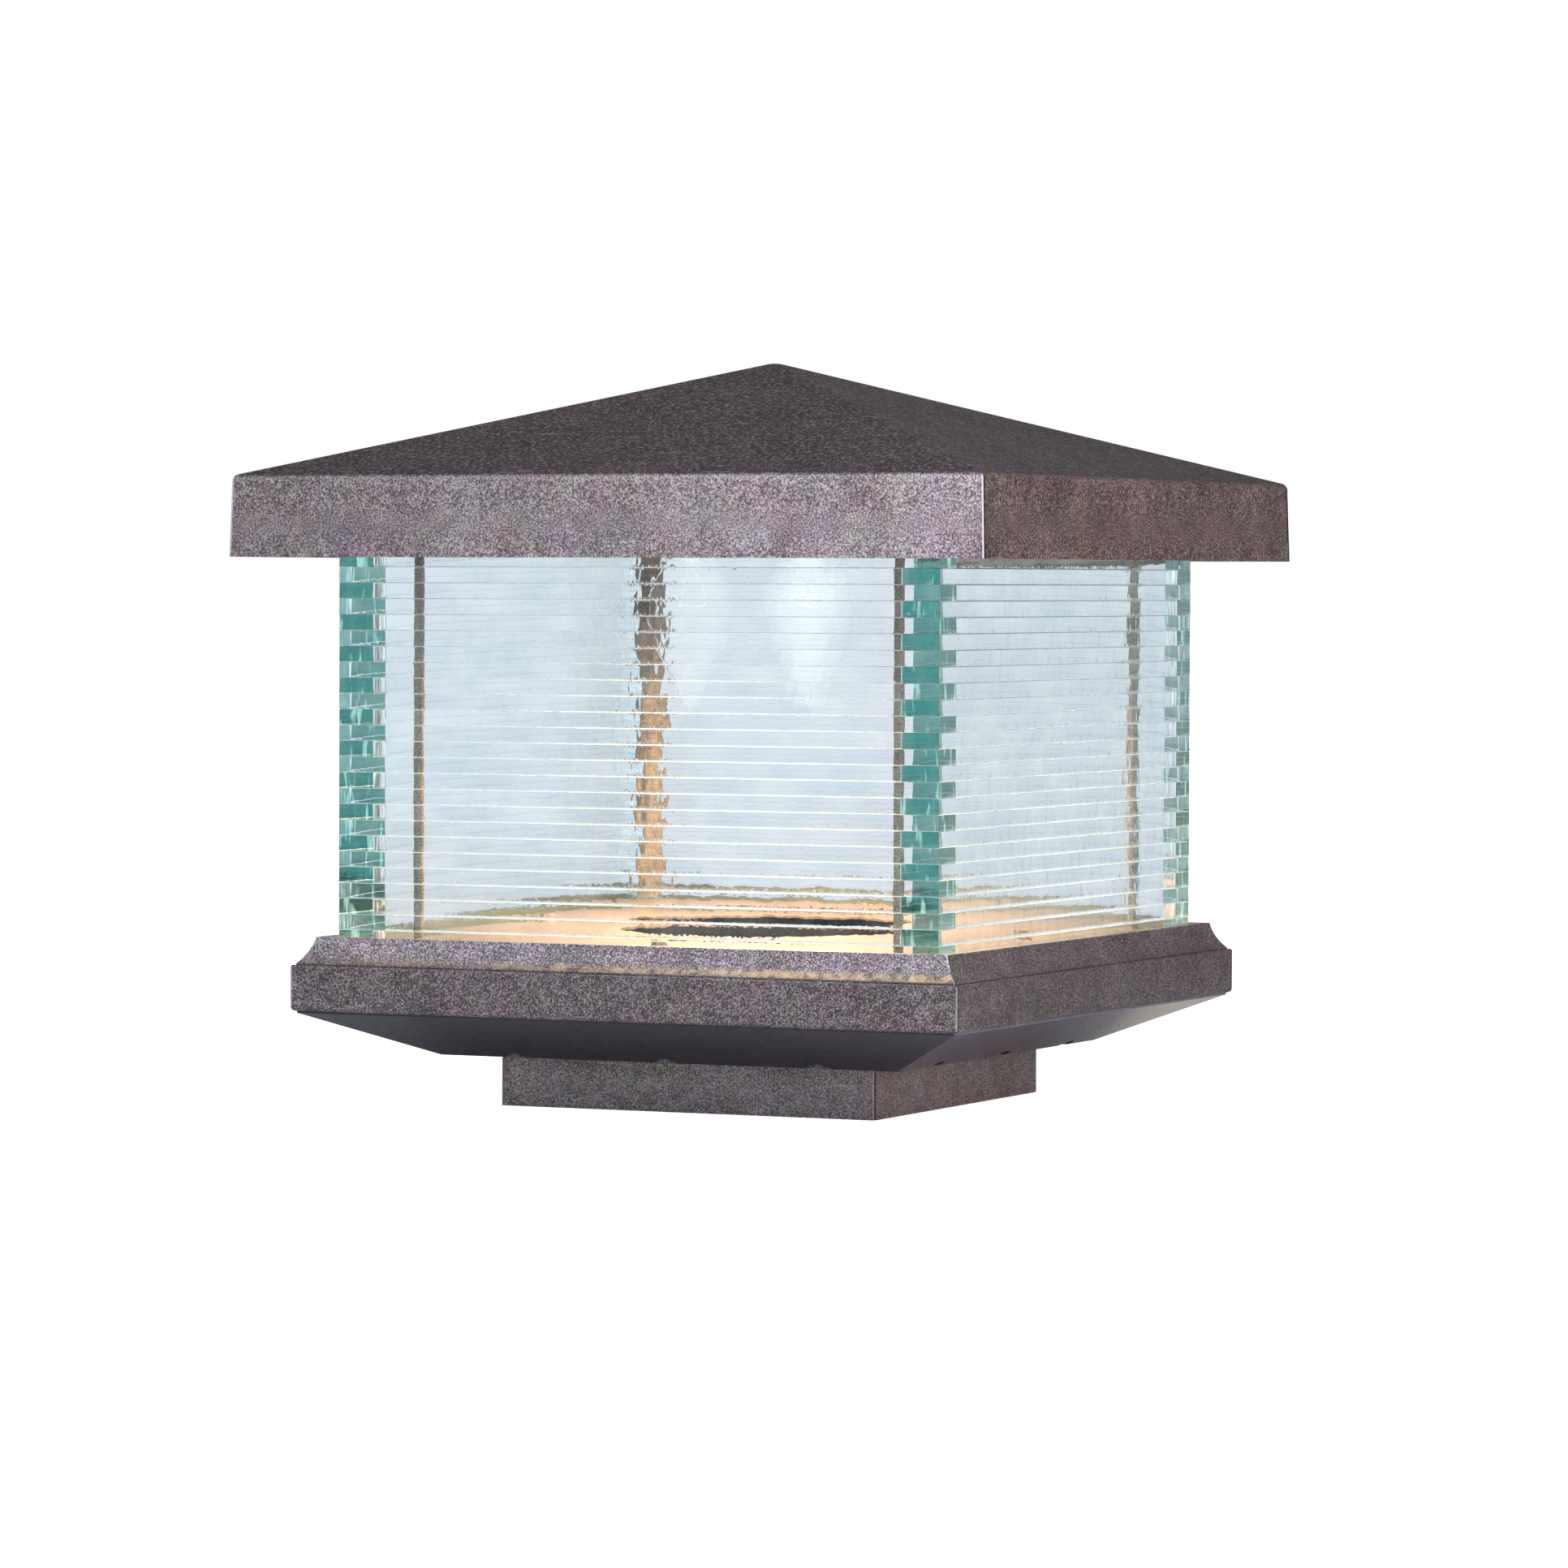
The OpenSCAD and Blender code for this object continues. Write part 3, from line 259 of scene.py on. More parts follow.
def clouded(name, first, second, scale, detail, gloss, metal=0.0, swirl=0.0):
    """A finish that drifts between two tones, and whose roughness drifts with it."""
    material = bpy.data.materials.new(name)
    material.use_nodes = True
    tree = material.node_tree
    skin = tree.nodes["Principled BSDF"]
    place = add(tree, "ShaderNodeTexCoord")
    cloud = add(tree, "ShaderNodeTexNoise",
                {"Vector": place.outputs["Object"], "Scale": scale, "Detail": detail,
                 "Distortion": swirl})
    tint = add(tree, "ShaderNodeMix",
               {0: cloud.outputs["Fac"], 6: linear(first), 7: linear(second)}, data_type="RGBA")
    tree.links.new(tint.outputs[2], skin.inputs["Base Color"])
    sheen = add(tree, "ShaderNodeMapRange",
                {"Value": cloud.outputs["Fac"], "To Min": gloss[0], "To Max": gloss[1]})
    tree.links.new(sheen.outputs[0], skin.inputs["Roughness"])
    skin.inputs["Metallic"].default_value = metal
    return material


# Bright zinc, satin, with the bath's faint clouds of 4 mm. The screws were dyed green over it.
plated = clouded("zinc_plated_steel", "#8f918d", "#d8d9d4",
                 scale=260.0, detail=4.0, gloss=(0.30, 0.50), metal=1.0)
finish_nodes(plated, "crossbar", "mounting_studs", "stud_washers", "stud_nuts")
dyed = clouded("green_dyed_zinc", "#2e7a3c", "#d8d9d4",
               scale=260.0, detail=4.0, gloss=(0.30, 0.50), metal=1.0)
finish_nodes(dyed, "ground_screw", "bond_screw")

# ---- Base pan ----
# The folded tray under the lantern, and the rivets that hold the collar to it. It faces down to
# the post, and its bronze is painted nearly black for the shade it lies in, under a smooth coat
# that picks up the floor.
shaded_pan_bronze = rubbed_bronze("hand_rubbed_bronze_pan", "#16121a", "#24202a", "#3b3642",
                           rough=0.34, metal=0.1)
tree = shaded_pan_bronze.node_tree
skin = tree.nodes["Principled BSDF"]
painted = skin.inputs["Base Color"].links[0].from_socket
outwards = add(tree, "ShaderNodeNewGeometry").outputs["True Normal"]
facing = add(tree, "ShaderNodeSeparateXYZ", {0: outwards})
# Painted light: the side that faces right is painted many times as bright as the rest, for the
# light and reflection that reach it from the right and below.
right_side_painted_light = (6.0, 8.0, 7.0, 1)
right_side = add(tree, "ShaderNodeMapRange",
                 {"Value": facing.outputs["X"], "From Min": 0.1, "From Max": 0.3})
rubbed_and_lit = add(tree, "ShaderNodeMix",
             {0: right_side.outputs[0], 6: painted, 7: right_side_painted_light},
             data_type="RGBA", blend_type="MULTIPLY")
tree.links.new(rubbed_and_lit.outputs[2], skin.inputs["Base Color"])
coat = add(tree, "ShaderNodeMapRange",
           {"Value": right_side.outputs[0], "To Min": 0.35, "To Max": 1.0})
tree.links.new(coat.outputs[0], skin.inputs["Coat Weight"])
skin.inputs["Coat Roughness"].default_value = 0.15
skin.inputs["Coat Tint"].default_value = linear("#f3ecff")
finish_nodes(shaded_pan_bronze, "base_pan", "collar_rivets")

# ---- Wire bushing ----
# A ring in the hole that the house wires come through, and one on the conduit's end. They are
# moulded nylon: matt black, with the pits of a mould that was spark eroded. The pits are drawn
# at 0.6 mm, coarser than real ones, so that they show.
nylon = bpy.data.materials.new("moulded_black_nylon")
nylon.use_nodes = True
tree = nylon.node_tree
skin = tree.nodes["Principled BSDF"]
skin.inputs["Base Color"].default_value = linear("#1d1d1f")
place = add(tree, "ShaderNodeTexCoord")
pits = add(tree, "ShaderNodeTexNoise", {"Vector": place.outputs["Object"], "Scale": 1800.0})
gloss = add(tree, "ShaderNodeMapRange",
            {"Value": pits.outputs["Fac"], "To Min": 0.42, "To Max": 0.62})
tree.links.new(gloss.outputs[0], skin.inputs["Roughness"])
bump = add(tree, "ShaderNodeBump", {"Height": pits.outputs["Fac"], "Distance": 0.00003})
tree.links.new(bump.outputs[0], skin.inputs["Normal"])
finish_nodes(nylon, "wire_bushing", "conduit_end_bushing")

# ---- Base frame ----
# The coved moulding round the foot of the glass: steel sheet in bronze paint, with a painted
# highlight on the cove where it looks up to the light, weaker on the right side. A broken line of
# the lamps' warm light is painted along the front cove's foot, and inside the moulding the lamps'
# light is painted warm over the floor and shade near black under it.
cove_foot, cove_bright = 0.0592, 0.0630
line_foot, line_full, line_fades, line_gone = 0.0593, 0.0600, 0.0612, 0.0630
inside_half, floor_level = 0.1337, 0.0655
cove_painted_highlight, right_cove_painted_highlight = (1.65, 1.65, 1.7, 1), (1.2, 1.2, 1.2, 1)
base_bronze = rubbed_bronze("hand_rubbed_bronze_base", "#30282a", "#5c5255", "#a69ca2", seams=0.5)
tree = base_bronze.node_tree
skin = tree.nodes["Principled BSDF"]
painted = skin.inputs["Base Color"].links[0].from_socket
place = add(tree, "ShaderNodeTexCoord")
spot = add(tree, "ShaderNodeSeparateXYZ", {0: place.outputs["Object"]})
outwards = add(tree, "ShaderNodeNewGeometry").outputs["True Normal"]
facing = add(tree, "ShaderNodeSeparateXYZ", {0: outwards})
# A painted highlight on the cove, weaker on the side that faces right.
cove = add(tree, "ShaderNodeMapRange",
           {"Value": spot.outputs["Z"], "From Min": cove_foot, "From Max": cove_bright})
right_side = add(tree, "ShaderNodeMapRange",
                 {"Value": facing.outputs["X"], "From Min": 0.1, "From Max": 0.3})
lift = add(tree, "ShaderNodeMix",
           {0: right_side.outputs[0], 6: cove_painted_highlight, 7: right_cove_painted_highlight},
           data_type="RGBA")
rubbed_and_lit = add(tree, "ShaderNodeMix", {0: cove.outputs[0], 6: painted, 7: lift.outputs[2]},
             data_type="RGBA", blend_type="MULTIPLY")
# A painted pool of the lamps' warm light: a broken line along the front cove's foot.
rise = add(tree, "ShaderNodeMapRange",
           {"Value": spot.outputs["Z"], "From Min": line_foot, "From Max": line_full})
fall = add(tree, "ShaderNodeMapRange",
           {"Value": spot.outputs["Z"], "From Min": line_fades, "From Max": line_gone,
            "To Min": 1.0, "To Max": 0.0})
to_corner = add(tree, "ShaderNodeMapRange",
                {"Value": spot.outputs["X"], "From Min": -0.11, "From Max": 0.10,
                 "To Min": 0.12, "To Max": 0.75})
ripple = add(tree, "ShaderNodeTexNoise",
             {"Vector": place.outputs["Object"], "Scale": 190.0, "Detail": 3.0,
              "Roughness": 0.7})
broken = add(tree, "ShaderNodeMapRange",
             {"Value": ripple.outputs["Fac"], "From Min": 0.36, "From Max": 0.60})
front = add(tree, "ShaderNodeMapRange",
            {"Value": facing.outputs["Y"], "From Min": -0.3, "From Max": -0.1,
             "To Min": 1.0, "To Max": 0.0})
band = add(tree, "ShaderNodeMath", {0: rise.outputs[0], 1: fall.outputs[0]},
           operation="MULTIPLY")
patchy = add(tree, "ShaderNodeMath", {0: to_corner.outputs[0], 1: broken.outputs[0]},
             operation="MULTIPLY")
pool = add(tree, "ShaderNodeMath", {0: band.outputs[0], 1: patchy.outputs[0]},
           operation="MULTIPLY")
pooled = add(tree, "ShaderNodeMath", {0: pool.outputs[0], 1: front.outputs[0]},
             operation="MULTIPLY")
warmed = add(tree, "ShaderNodeMix",
             {0: pooled.outputs[0], 6: rubbed_and_lit.outputs[2], 7: linear("#f2d2a4")},
             data_type="RGBA")
off_x = add(tree, "ShaderNodeMath", {0: spot.outputs["X"]}, operation="ABSOLUTE")
off_y = add(tree, "ShaderNodeMath", {0: spot.outputs["Y"]}, operation="ABSOLUTE")
out = add(tree, "ShaderNodeMath", {0: off_x.outputs[0], 1: off_y.outputs[0]},
          operation="MAXIMUM")
inside = add(tree, "ShaderNodeMath", {0: out.outputs[0], 1: inside_half}, operation="LESS_THAN")
over_floor = add(tree, "ShaderNodeMath", {0: spot.outputs["Z"], 1: floor_level},
                 operation="GREATER_THAN")
# Painted light and shade inside the moulding: warm lamplight over the floor, near-black shade
# under it.
inside_light_and_shade = add(tree, "ShaderNodeMix",
             {0: over_floor.outputs[0], 6: linear("#141112"), 7: linear("#a8917e")},
             data_type="RGBA")
inside_painted = add(tree, "ShaderNodeMix",
            {0: inside.outputs[0], 6: warmed.outputs[2], 7: inside_light_and_shade.outputs[2]},
            data_type="RGBA")
tree.links.new(inside_painted.outputs[2], skin.inputs["Base Color"])
finish_nodes(base_bronze, "base_frame")

# ---- Floor plate ----
# The inner floor with its hand hole, held by four screws. Its satin bronze paint is brown, and the
# lamps light it to a warm peach.
floor_bronze = rubbed_bronze("satin_bronze_floor", "#5a4a42", "#8d7868", "#c0a892", rough=0.45)
finish_nodes(floor_bronze, "floor_plate", "floor_screws")

# ---- Glass walls ----
# Strips cut from 6 mm float glass, laid flat as a pinwheel that turns the other way on every
# course. Their broken edges face outwards, clear but a little wavy. Along a strip the iron in the
# glass adds up to teal, so the ends are dark and the faces are nearly clear.
float_glass = bpy.data.materials.new("float_glass_cut_strips")
float_glass.use_nodes = True
tree = float_glass.node_tree
clear = tree.nodes["Principled BSDF"]
clear.inputs["Base Color"].default_value = white
clear.inputs["IOR"].default_value = 1.52
clear.inputs["Transmission Weight"].default_value = 1.0
place = add(tree, "ShaderNodeTexCoord")
cut = add(tree, "ShaderNodeAttribute", attribute_name="cut")
end = add(tree, "ShaderNodeAttribute", attribute_name="end")
arris = add(tree, "ShaderNodeAttribute", attribute_name="arris")
bed = add(tree, "ShaderNodeAttribute", attribute_name="bed")
rim = add(tree, "ShaderNodeAttribute", attribute_name="rim")
course = add(tree, "ShaderNodeAttribute", attribute_name="course")

# A broken face rolls in waves of 7 mm, an end is torn in upright hackles of 3 mm, and the rims
# along a strip are ragged at 1.6 mm. Each course has waves of its own.
low = add(tree, "ShaderNodeMapping", {"Vector": place.outputs["Object"], "Scale": (1, 1, 0.45)})
wave = add(tree, "ShaderNodeTexNoise",
           {"Vector": low.outputs[0], "W": course.outputs["Fac"], "Scale": 135.0,
            "Detail": 2.0, "Roughness": 0.42}, noise_dimensions="4D")
tall = add(tree, "ShaderNodeMapping", {"Vector": place.outputs["Object"], "Scale": (1, 1, 0.16)})
hackle = add(tree, "ShaderNodeTexNoise",
             {"Vector": tall.outputs[0], "W": course.outputs["Fac"], "Scale": 300.0,
              "Detail": 2.0, "Distortion": 0.8}, noise_dimensions="4D")
rib = add(tree, "ShaderNodeTexNoise",
          {"Vector": place.outputs["Object"], "W": course.outputs["Fac"], "Scale": 620.0,
           "Detail": 2.0}, noise_dimensions="4D")
wavy = add(tree, "ShaderNodeMath", {0: wave.outputs["Fac"], 1: cut.outputs["Fac"]},
           operation="MULTIPLY")
torn = add(tree, "ShaderNodeMath", {0: hackle.outputs["Fac"], 1: end.outputs["Fac"]},
           operation="MULTIPLY")
ragged = add(tree, "ShaderNodeMath", {0: rib.outputs["Fac"], 1: 0.5}, operation="SUBTRACT")
ribs = add(tree, "ShaderNodeMath", {0: ragged.outputs[0], 1: rim.outputs["Fac"]},
           operation="MULTIPLY")
first = add(tree, "ShaderNodeBump", {"Height": wavy.outputs[0], "Distance": 0.00020})
second = add(tree, "ShaderNodeBump",
             {"Height": torn.outputs[0], "Distance": 0.00015, "Normal": first.outputs[0]})
third = add(tree, "ShaderNodeBump",
            {"Height": ribs.outputs[0], "Distance": 0.00012, "Normal": second.outputs[0]})
tree.links.new(third.outputs[0], clear.inputs["Normal"])

# The arrises are chipped at 0.8 mm and stay frosty, while the rest is as smooth as it broke.
chips = add(tree, "ShaderNodeTexNoise",
            {"Vector": place.outputs["Object"], "W": course.outputs["Fac"], "Scale": 1300.0,
             "Detail": 2.0}, noise_dimensions="4D")
frost = add(tree, "ShaderNodeMapRange",
            {"Value": chips.outputs["Fac"], "From Min": 0.35, "From Max": 0.6,
             "To Min": 0.3, "To Max": 0.8})
dull = add(tree, "ShaderNodeMath", {0: frost.outputs[0], 1: arris.outputs["Fac"]},
           operation="MULTIPLY")
tree.links.new(dull.outputs[0], clear.inputs["Roughness"])

# The lamps' light that leaks out at the joints of the nearest wall is painted as a glow: most at
# the foot, towards the middle of a wall and, higher up, at the front. On the broken faces a faint
# painted glow, standing for milkiness, drifts over 26 mm.
front_face, stack_foot, stack_top = -0.116, 0.07, 0.222
ray = add(tree, "ShaderNodeLightPath")
near = add(tree, "ShaderNodeMath", {0: ray.outputs["Ray Depth"], 1: 1.5}, operation="LESS_THAN")
spot = add(tree, "ShaderNodeSeparateXYZ", {0: place.outputs["Object"]})
front = add(tree, "ShaderNodeMath", {0: spot.outputs["Y"], 1: front_face}, operation="LESS_THAN")
top_leak = add(tree, "ShaderNodeMath", {0: front.outputs[0], 1: 0.26, 2: 0.1},
               operation="MULTIPLY_ADD")
fade = add(tree, "ShaderNodeMapRange",
           {"Value": spot.outputs["Z"], "From Min": stack_foot, "From Max": stack_top,
            "To Min": 0.75, "To Max": top_leak.outputs[0]})
off_x = add(tree, "ShaderNodeMath", {0: spot.outputs["X"]}, operation="ABSOLUTE")
off_y = add(tree, "ShaderNodeMath", {0: spot.outputs["Y"]}, operation="ABSOLUTE")
along = add(tree, "ShaderNodeMath", {0: off_x.outputs[0], 1: off_y.outputs[0]},
            operation="MINIMUM")
by_lamps = add(tree, "ShaderNodeMapRange",
               {"Value": along.outputs[0], "From Min": 0.02, "From Max": 0.13,
                "To Min": 1.0, "To Max": 0.4})
sparkle = add(tree, "ShaderNodeMapRange",
              {"Value": chips.outputs["Fac"], "From Min": 0.38, "From Max": 0.62,
               "To Min": 0.3, "To Max": 1.0})
leak = add(tree, "ShaderNodeMath", {0: fade.outputs[0], 1: sparkle.outputs[0]},
           operation="MULTIPLY")
leak_here = add(tree, "ShaderNodeMath", {0: leak.outputs[0], 1: by_lamps.outputs[0]},
                operation="MULTIPLY")
joint_glow = add(tree, "ShaderNodeMath",
                 {0: bed.outputs["Fac"], 1: 0.45, 2: arris.outputs["Fac"]},
                 operation="MULTIPLY_ADD")
leaks = add(tree, "ShaderNodeMath", {0: leak_here.outputs[0], 1: joint_glow.outputs[0]},
            operation="MULTIPLY")
milk = add(tree, "ShaderNodeTexNoise",
           {"Vector": place.outputs["Object"], "W": course.outputs["Fac"], "Scale": 38.0,
            "Detail": 3.0}, noise_dimensions="4D")
haze = add(tree, "ShaderNodeMapRange",
           {"Value": milk.outputs["Fac"], "From Min": 0.42, "From Max": 0.7,
            "To Min": 0.0, "To Max": 0.07})
hazes = add(tree, "ShaderNodeMath",
            {0: haze.outputs[0], 1: cut.outputs["Fac"], 2: leaks.outputs[0]},
            operation="MULTIPLY_ADD")
shown = add(tree, "ShaderNodeMath", {0: hazes.outputs[0], 1: near.outputs[0]},
            operation="MULTIPLY")

# Painted glints: the ends glow in pale streaks on their hackles, and glow a little more at a
# slant.
streak = add(tree, "ShaderNodeMapRange",
             {"Value": hackle.outputs["Fac"], "From Min": 0.58, "From Max": 0.68,
              "To Min": 0.02, "To Max": 0.5})
slant = add(tree, "ShaderNodeLayerWeight", {"Blend": 0.5})
pale = add(tree, "ShaderNodeMapRange",
           {"Value": slant.outputs["Facing"], "From Min": 0.2, "From Max": 0.7,
            "To Min": 0.0, "To Max": 0.13})
paler = add(tree, "ShaderNodeMath", {0: pale.outputs[0], 1: streak.outputs[0]},
            operation="ADD")
glints = add(tree, "ShaderNodeMath",
             {0: paler.outputs[0], 1: end.outputs["Fac"], 2: shown.outputs[0]},
             operation="MULTIPLY_ADD")
glow_tint = add(tree, "ShaderNodeMix",
                {0: end.outputs["Fac"], 6: linear("#fff1e4"), 7: linear("#d4f9f3")},
                data_type="RGBA")
tree.links.new(glow_tint.outputs[2], clear.inputs["Emission Color"])
tree.links.new(glints.outputs[0], clear.inputs["Emission Strength"])

# Light for the metal and the floor passes straight through. So does sight through the joints of
# the walls behind the nearest one, which would draw streaks across it.
far = add(tree, "ShaderNodeMath", {0: 1.0, 1: near.outputs[0]}, operation="SUBTRACT")
joint = add(tree, "ShaderNodeMath", {0: arris.outputs["Fac"], 1: bed.outputs["Fac"]},
            operation="MAXIMUM")
far_joint = add(tree, "ShaderNodeMath", {0: far.outputs[0], 1: joint.outputs[0]},
                operation="MULTIPLY")
light_only = add(tree, "ShaderNodeMath",
                 {0: ray.outputs["Is Shadow Ray"], 1: ray.outputs["Is Diffuse Ray"]},
                 operation="MAXIMUM")
let_past = add(tree, "ShaderNodeMath", {0: light_only.outputs[0], 1: far_joint.outputs[0]},
               operation="MAXIMUM")
passed_on = (0.94, 0.96, 0.96, 1)    # the share of the light that each face lets by
lets_by = add(tree, "ShaderNodeBsdfTransparent", {"Color": passed_on})
mix = add(tree, "ShaderNodeMixShader",
          {0: let_past.outputs[0], 1: clear.outputs[0], 2: lets_by.outputs[0]})
ends_in = tree.nodes["Material Output"]
tree.links.new(mix.outputs[0], ends_in.inputs["Surface"])
iron = add(tree, "ShaderNodeVolumeAbsorption", {"Color": linear("#61d7d1"), "Density": 12.0})
tree.links.new(iron.outputs[0], ends_in.inputs["Volume"])

# One strip, its four long edges arrissed and its broken faces divided so that they can lean and
# hollow by a hair.
glass_low, glass_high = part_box("glass_wall_front")
courses, course_h, strip_t = 25, 0.00637, 0.00635
strip_depth, butt_gap, arris_w = 0.0159, 0.0003, 0.00016
lean, hollow = 0.00018, 0.00003
glass_half = glass_high.x
strip_l = 2 * glass_half - strip_depth - butt_gap
bpy.ops.object.select_all(action="DESELECT")
bpy.ops.mesh.primitive_cube_add(size=1, scale=(strip_l, strip_depth, strip_t))
master = bpy.context.object
master.name = "strip"
bpy.ops.object.transform_apply(location=False, rotation=False, scale=True)
bpy.ops.object.mode_set(mode="EDIT")
mesh = bmesh.from_edit_mesh(master.data)
for edge in mesh.edges:
    a, b = (v.co for v in edge.verts)
    edge.select_set(abs(b.x - a.x) > strip_l / 2)
mesh.select_flush_mode()
bmesh.update_edit_mesh(master.data)
bpy.ops.mesh.bevel(offset=arris_w, segments=1)
for level in (-0.3, -0.1, 0.1, 0.3):
    bpy.ops.mesh.select_all(action="SELECT")
    bpy.ops.mesh.bisect(plane_co=(0, 0, level * strip_t), plane_no=(0, 0, 1))
bpy.ops.object.mode_set(mode="OBJECT")

# The walls: 25 strips each, shifted to one corner and the other in turn. The right wall's top
# strip was laid the other way up, and shows the soffit in its broken face.
course_step, wall_step = 7.3, 190.0    # how far apart the courses' and the walls' waves are
rim_level = 0.8                        # the part of a broken face that is ragged
for quarter, wall in enumerate(("front", "right", "back", "left")):
    strips = []
    for number in range(courses):
        mesh = master.data.copy()
        handed = 1 if number % 2 == 0 else -1
        turned_over = -1 if wall == "right" and number == courses - 1 else 1
        for name in ("cut", "end", "arris", "bed", "course"):
            mesh.attributes.new(name, "FLOAT", "FACE")
        mesh.attributes.new("rim", "FLOAT", "POINT")
        marks = mesh.attributes
        for face in mesh.polygons:
            lengthwise, across, upright = (abs(part) for part in face.normal)
            marks["cut"].data[face.index].value = float(across > 0.9)
            marks["end"].data[face.index].value = float(lengthwise > 0.7)
            marks["arris"].data[face.index].value = float(across > 0.5 and upright > 0.5)
            marks["bed"].data[face.index].value = float(upright > 0.9)
            marks["course"].data[face.index].value = course_step * number + wall_step * quarter
        for v in mesh.vertices:
            level = 2 * v.co.z / strip_t
            side = v.co.y / (strip_depth / 2)
            marks["rim"].data[v.index].value = float(abs(level) > rim_level)
            v.co.y -= side * (lean * (1 + turned_over * level) / 2 + hollow * (1 - level * level))
        mesh.transform(Matrix.Translation((handed * (strip_depth + butt_gap) / 2,
                                           -glass_half + strip_depth / 2,
                                           glass_low.z + strip_t / 2 + number * course_h)))
        mesh.transform(Matrix.Rotation(math.radians(90 * quarter), 4, "Z"))
        mesh.update()
        piece = bpy.data.objects.new("strip", mesh)
        scene.collection.objects.link(piece)
        strips.append(piece)
    bpy.ops.object.select_all(action="DESELECT")
    for piece in strips:
        piece.select_set(True)
    bpy.context.view_layer.objects.active = strips[0]
    bpy.ops.object.join()
    piece = bpy.context.object
    piece.name = piece.data.name = "glass_strips_" + wall
    piece.data.materials.clear()
    piece.data.materials.append(float_glass)
    bpy.ops.object.shade_smooth_by_angle(angle=math.radians(25))
    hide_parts("glass_wall_" + wall)
    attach(piece, "lantern")
bpy.data.objects.remove(master)

# ---- Gaskets ----
# Thin bands under and over the stack, cut from translucent silicone sheet: grey-green, with a
# milkiness that drifts over 11 mm.
silicone = bpy.data.materials.new("translucent_silicone")
silicone.use_nodes = True
tree = silicone.node_tree
skin = tree.nodes["Principled BSDF"]
skin.inputs["Roughness"].default_value = 0.5
skin.inputs["Transmission Weight"].default_value = 0.35
skin.inputs["IOR"].default_value = 1.41
place = add(tree, "ShaderNodeTexCoord")
milk = add(tree, "ShaderNodeTexNoise",
           {"Vector": place.outputs["Object"], "Scale": 90.0, "Detail": 3.0})
tint = add(tree, "ShaderNodeMix",
           {0: milk.outputs["Fac"], 6: linear("#8f9a98"), 7: linear("#c9d2cf")},
           data_type="RGBA")
tree.links.new(tint.outputs[2], skin.inputs["Base Color"])
finish_nodes(silicone, "glass_gasket_bottom", "glass_gasket_top")

# ---- Tie rods and conduit ----
# Three steel rods that clamp the stack, with 12 mm of thread over the floor, and a steel tube for
# the wires. They are painted a satin brown, and their nuts and washers are plated.
rod_bronze = rubbed_bronze("satin_bronze_rod", "#4a4039", "#8f7d6d", "#bbaa98",
                           rough=0.42, metal=0.3)
finish_nodes(rod_bronze, "tie_rod_front_left", "tie_rod_front_right", "tie_rod_back_right",
             "wire_conduit")
finish_nodes(plated, "rod_washers", "rod_nuts", "conduit_locknuts")

# ---- Soffit and strap ----
# The plate on top of the glass that closes the roof, painted like the floor but darker. A plated
# strap, with its screws, nipples and nuts, carries the lamp holders over the opening.
soffit_bronze = rubbed_bronze("satin_bronze_soffit", "#42372f", "#6f5e52", "#9b8878", rough=0.45)
finish_nodes(soffit_bronze, "soffit_plate")
finish_nodes(plated, "socket_bridge", "bridge_screws", "socket_nipples", "nipple_nuts")

# ---- Lamp holders ----
# Three holders that hang from the strap, each on a threaded nipple. Their bodies are moulded
# phenolic, brown-black with a dull gloss and the moulding's swirls of 8 mm.
phenolic = clouded("moulded_phenolic", "#1b1714", "#332a24",
                   scale=120.0, detail=5.0, gloss=(0.28, 0.44), swirl=1.2)
finish_nodes(phenolic, "lamp_holder_1", "lamp_holder_2", "lamp_holder_3")

# Screw shells, contacts and lamp bases of spun brass, bright yellow with a tarnish that drifts
# over 3 mm.
brass = clouded("spun_brass", "#b08a3c", "#d6b35e",
                scale=300.0, detail=4.0, gloss=(0.22, 0.40), metal=1.0)
finish_nodes(brass, "screw_shell_1", "screw_shell_2", "screw_shell_3", "centre_contacts",
             "lamp_base_1", "lamp_base_2", "lamp_base_3")

# ---- Lamps ----
# Torpedo lamps, lit. Their blown glass is so thin that it hardly bends light, which an IOR near 1
# stands for, and it glows a little where one looks straight into it.
blown = bpy.data.materials.new("blown_lamp_glass_lit")
blown.use_nodes = True
tree = blown.node_tree
clear = tree.nodes["Principled BSDF"]
clear.inputs["Base Color"].default_value = white
clear.inputs["Roughness"].default_value = 0.0
clear.inputs["IOR"].default_value = 1.004
clear.inputs["Transmission Weight"].default_value = 1.0
clear.inputs["Emission Color"].default_value = linear("#fffcf6")
weight = add(tree, "ShaderNodeLayerWeight", {"Blend": 0.5})
glow = add(tree, "ShaderNodeMapRange",
           {"Value": weight.outputs["Facing"], "From Min": 0.0, "From Max": 0.8,
            "To Min": 0.03, "To Max": 0.0})
tree.links.new(glow.outputs[0], clear.inputs["Emission Strength"])
ray = add(tree, "ShaderNodeLightPath")
light_only = add(tree, "ShaderNodeMath",
                 {0: ray.outputs["Is Shadow Ray"], 1: ray.outputs["Is Diffuse Ray"]},
                 operation="MAXIMUM")
lets_by = add(tree, "ShaderNodeBsdfTransparent", {"Color": white})
mix = add(tree, "ShaderNodeMixShader",
          {0: light_only.outputs[0], 1: clear.outputs[0], 2: lets_by.outputs[0]})
tree.links.new(mix.outputs[0], tree.nodes["Material Output"].inputs["Surface"])
finish_nodes(blown, "lamp_glass_1", "lamp_glass_2", "lamp_glass_3")

# Drawn tungsten wire, dark grey when cold. Lit, it is lost in the white behind it.
hot = bpy.data.materials.new("hot_filament")
hot.use_nodes = True
skin = hot.node_tree.nodes["Principled BSDF"]
skin.inputs["Base Color"].default_value = linear("#3b3a39")
skin.inputs["Emission Color"].default_value = linear("#f7fcff")
skin.inputs["Emission Strength"].default_value = 0.92
finish_nodes(hot, "lamp_filament_1", "lamp_filament_2", "lamp_filament_3")

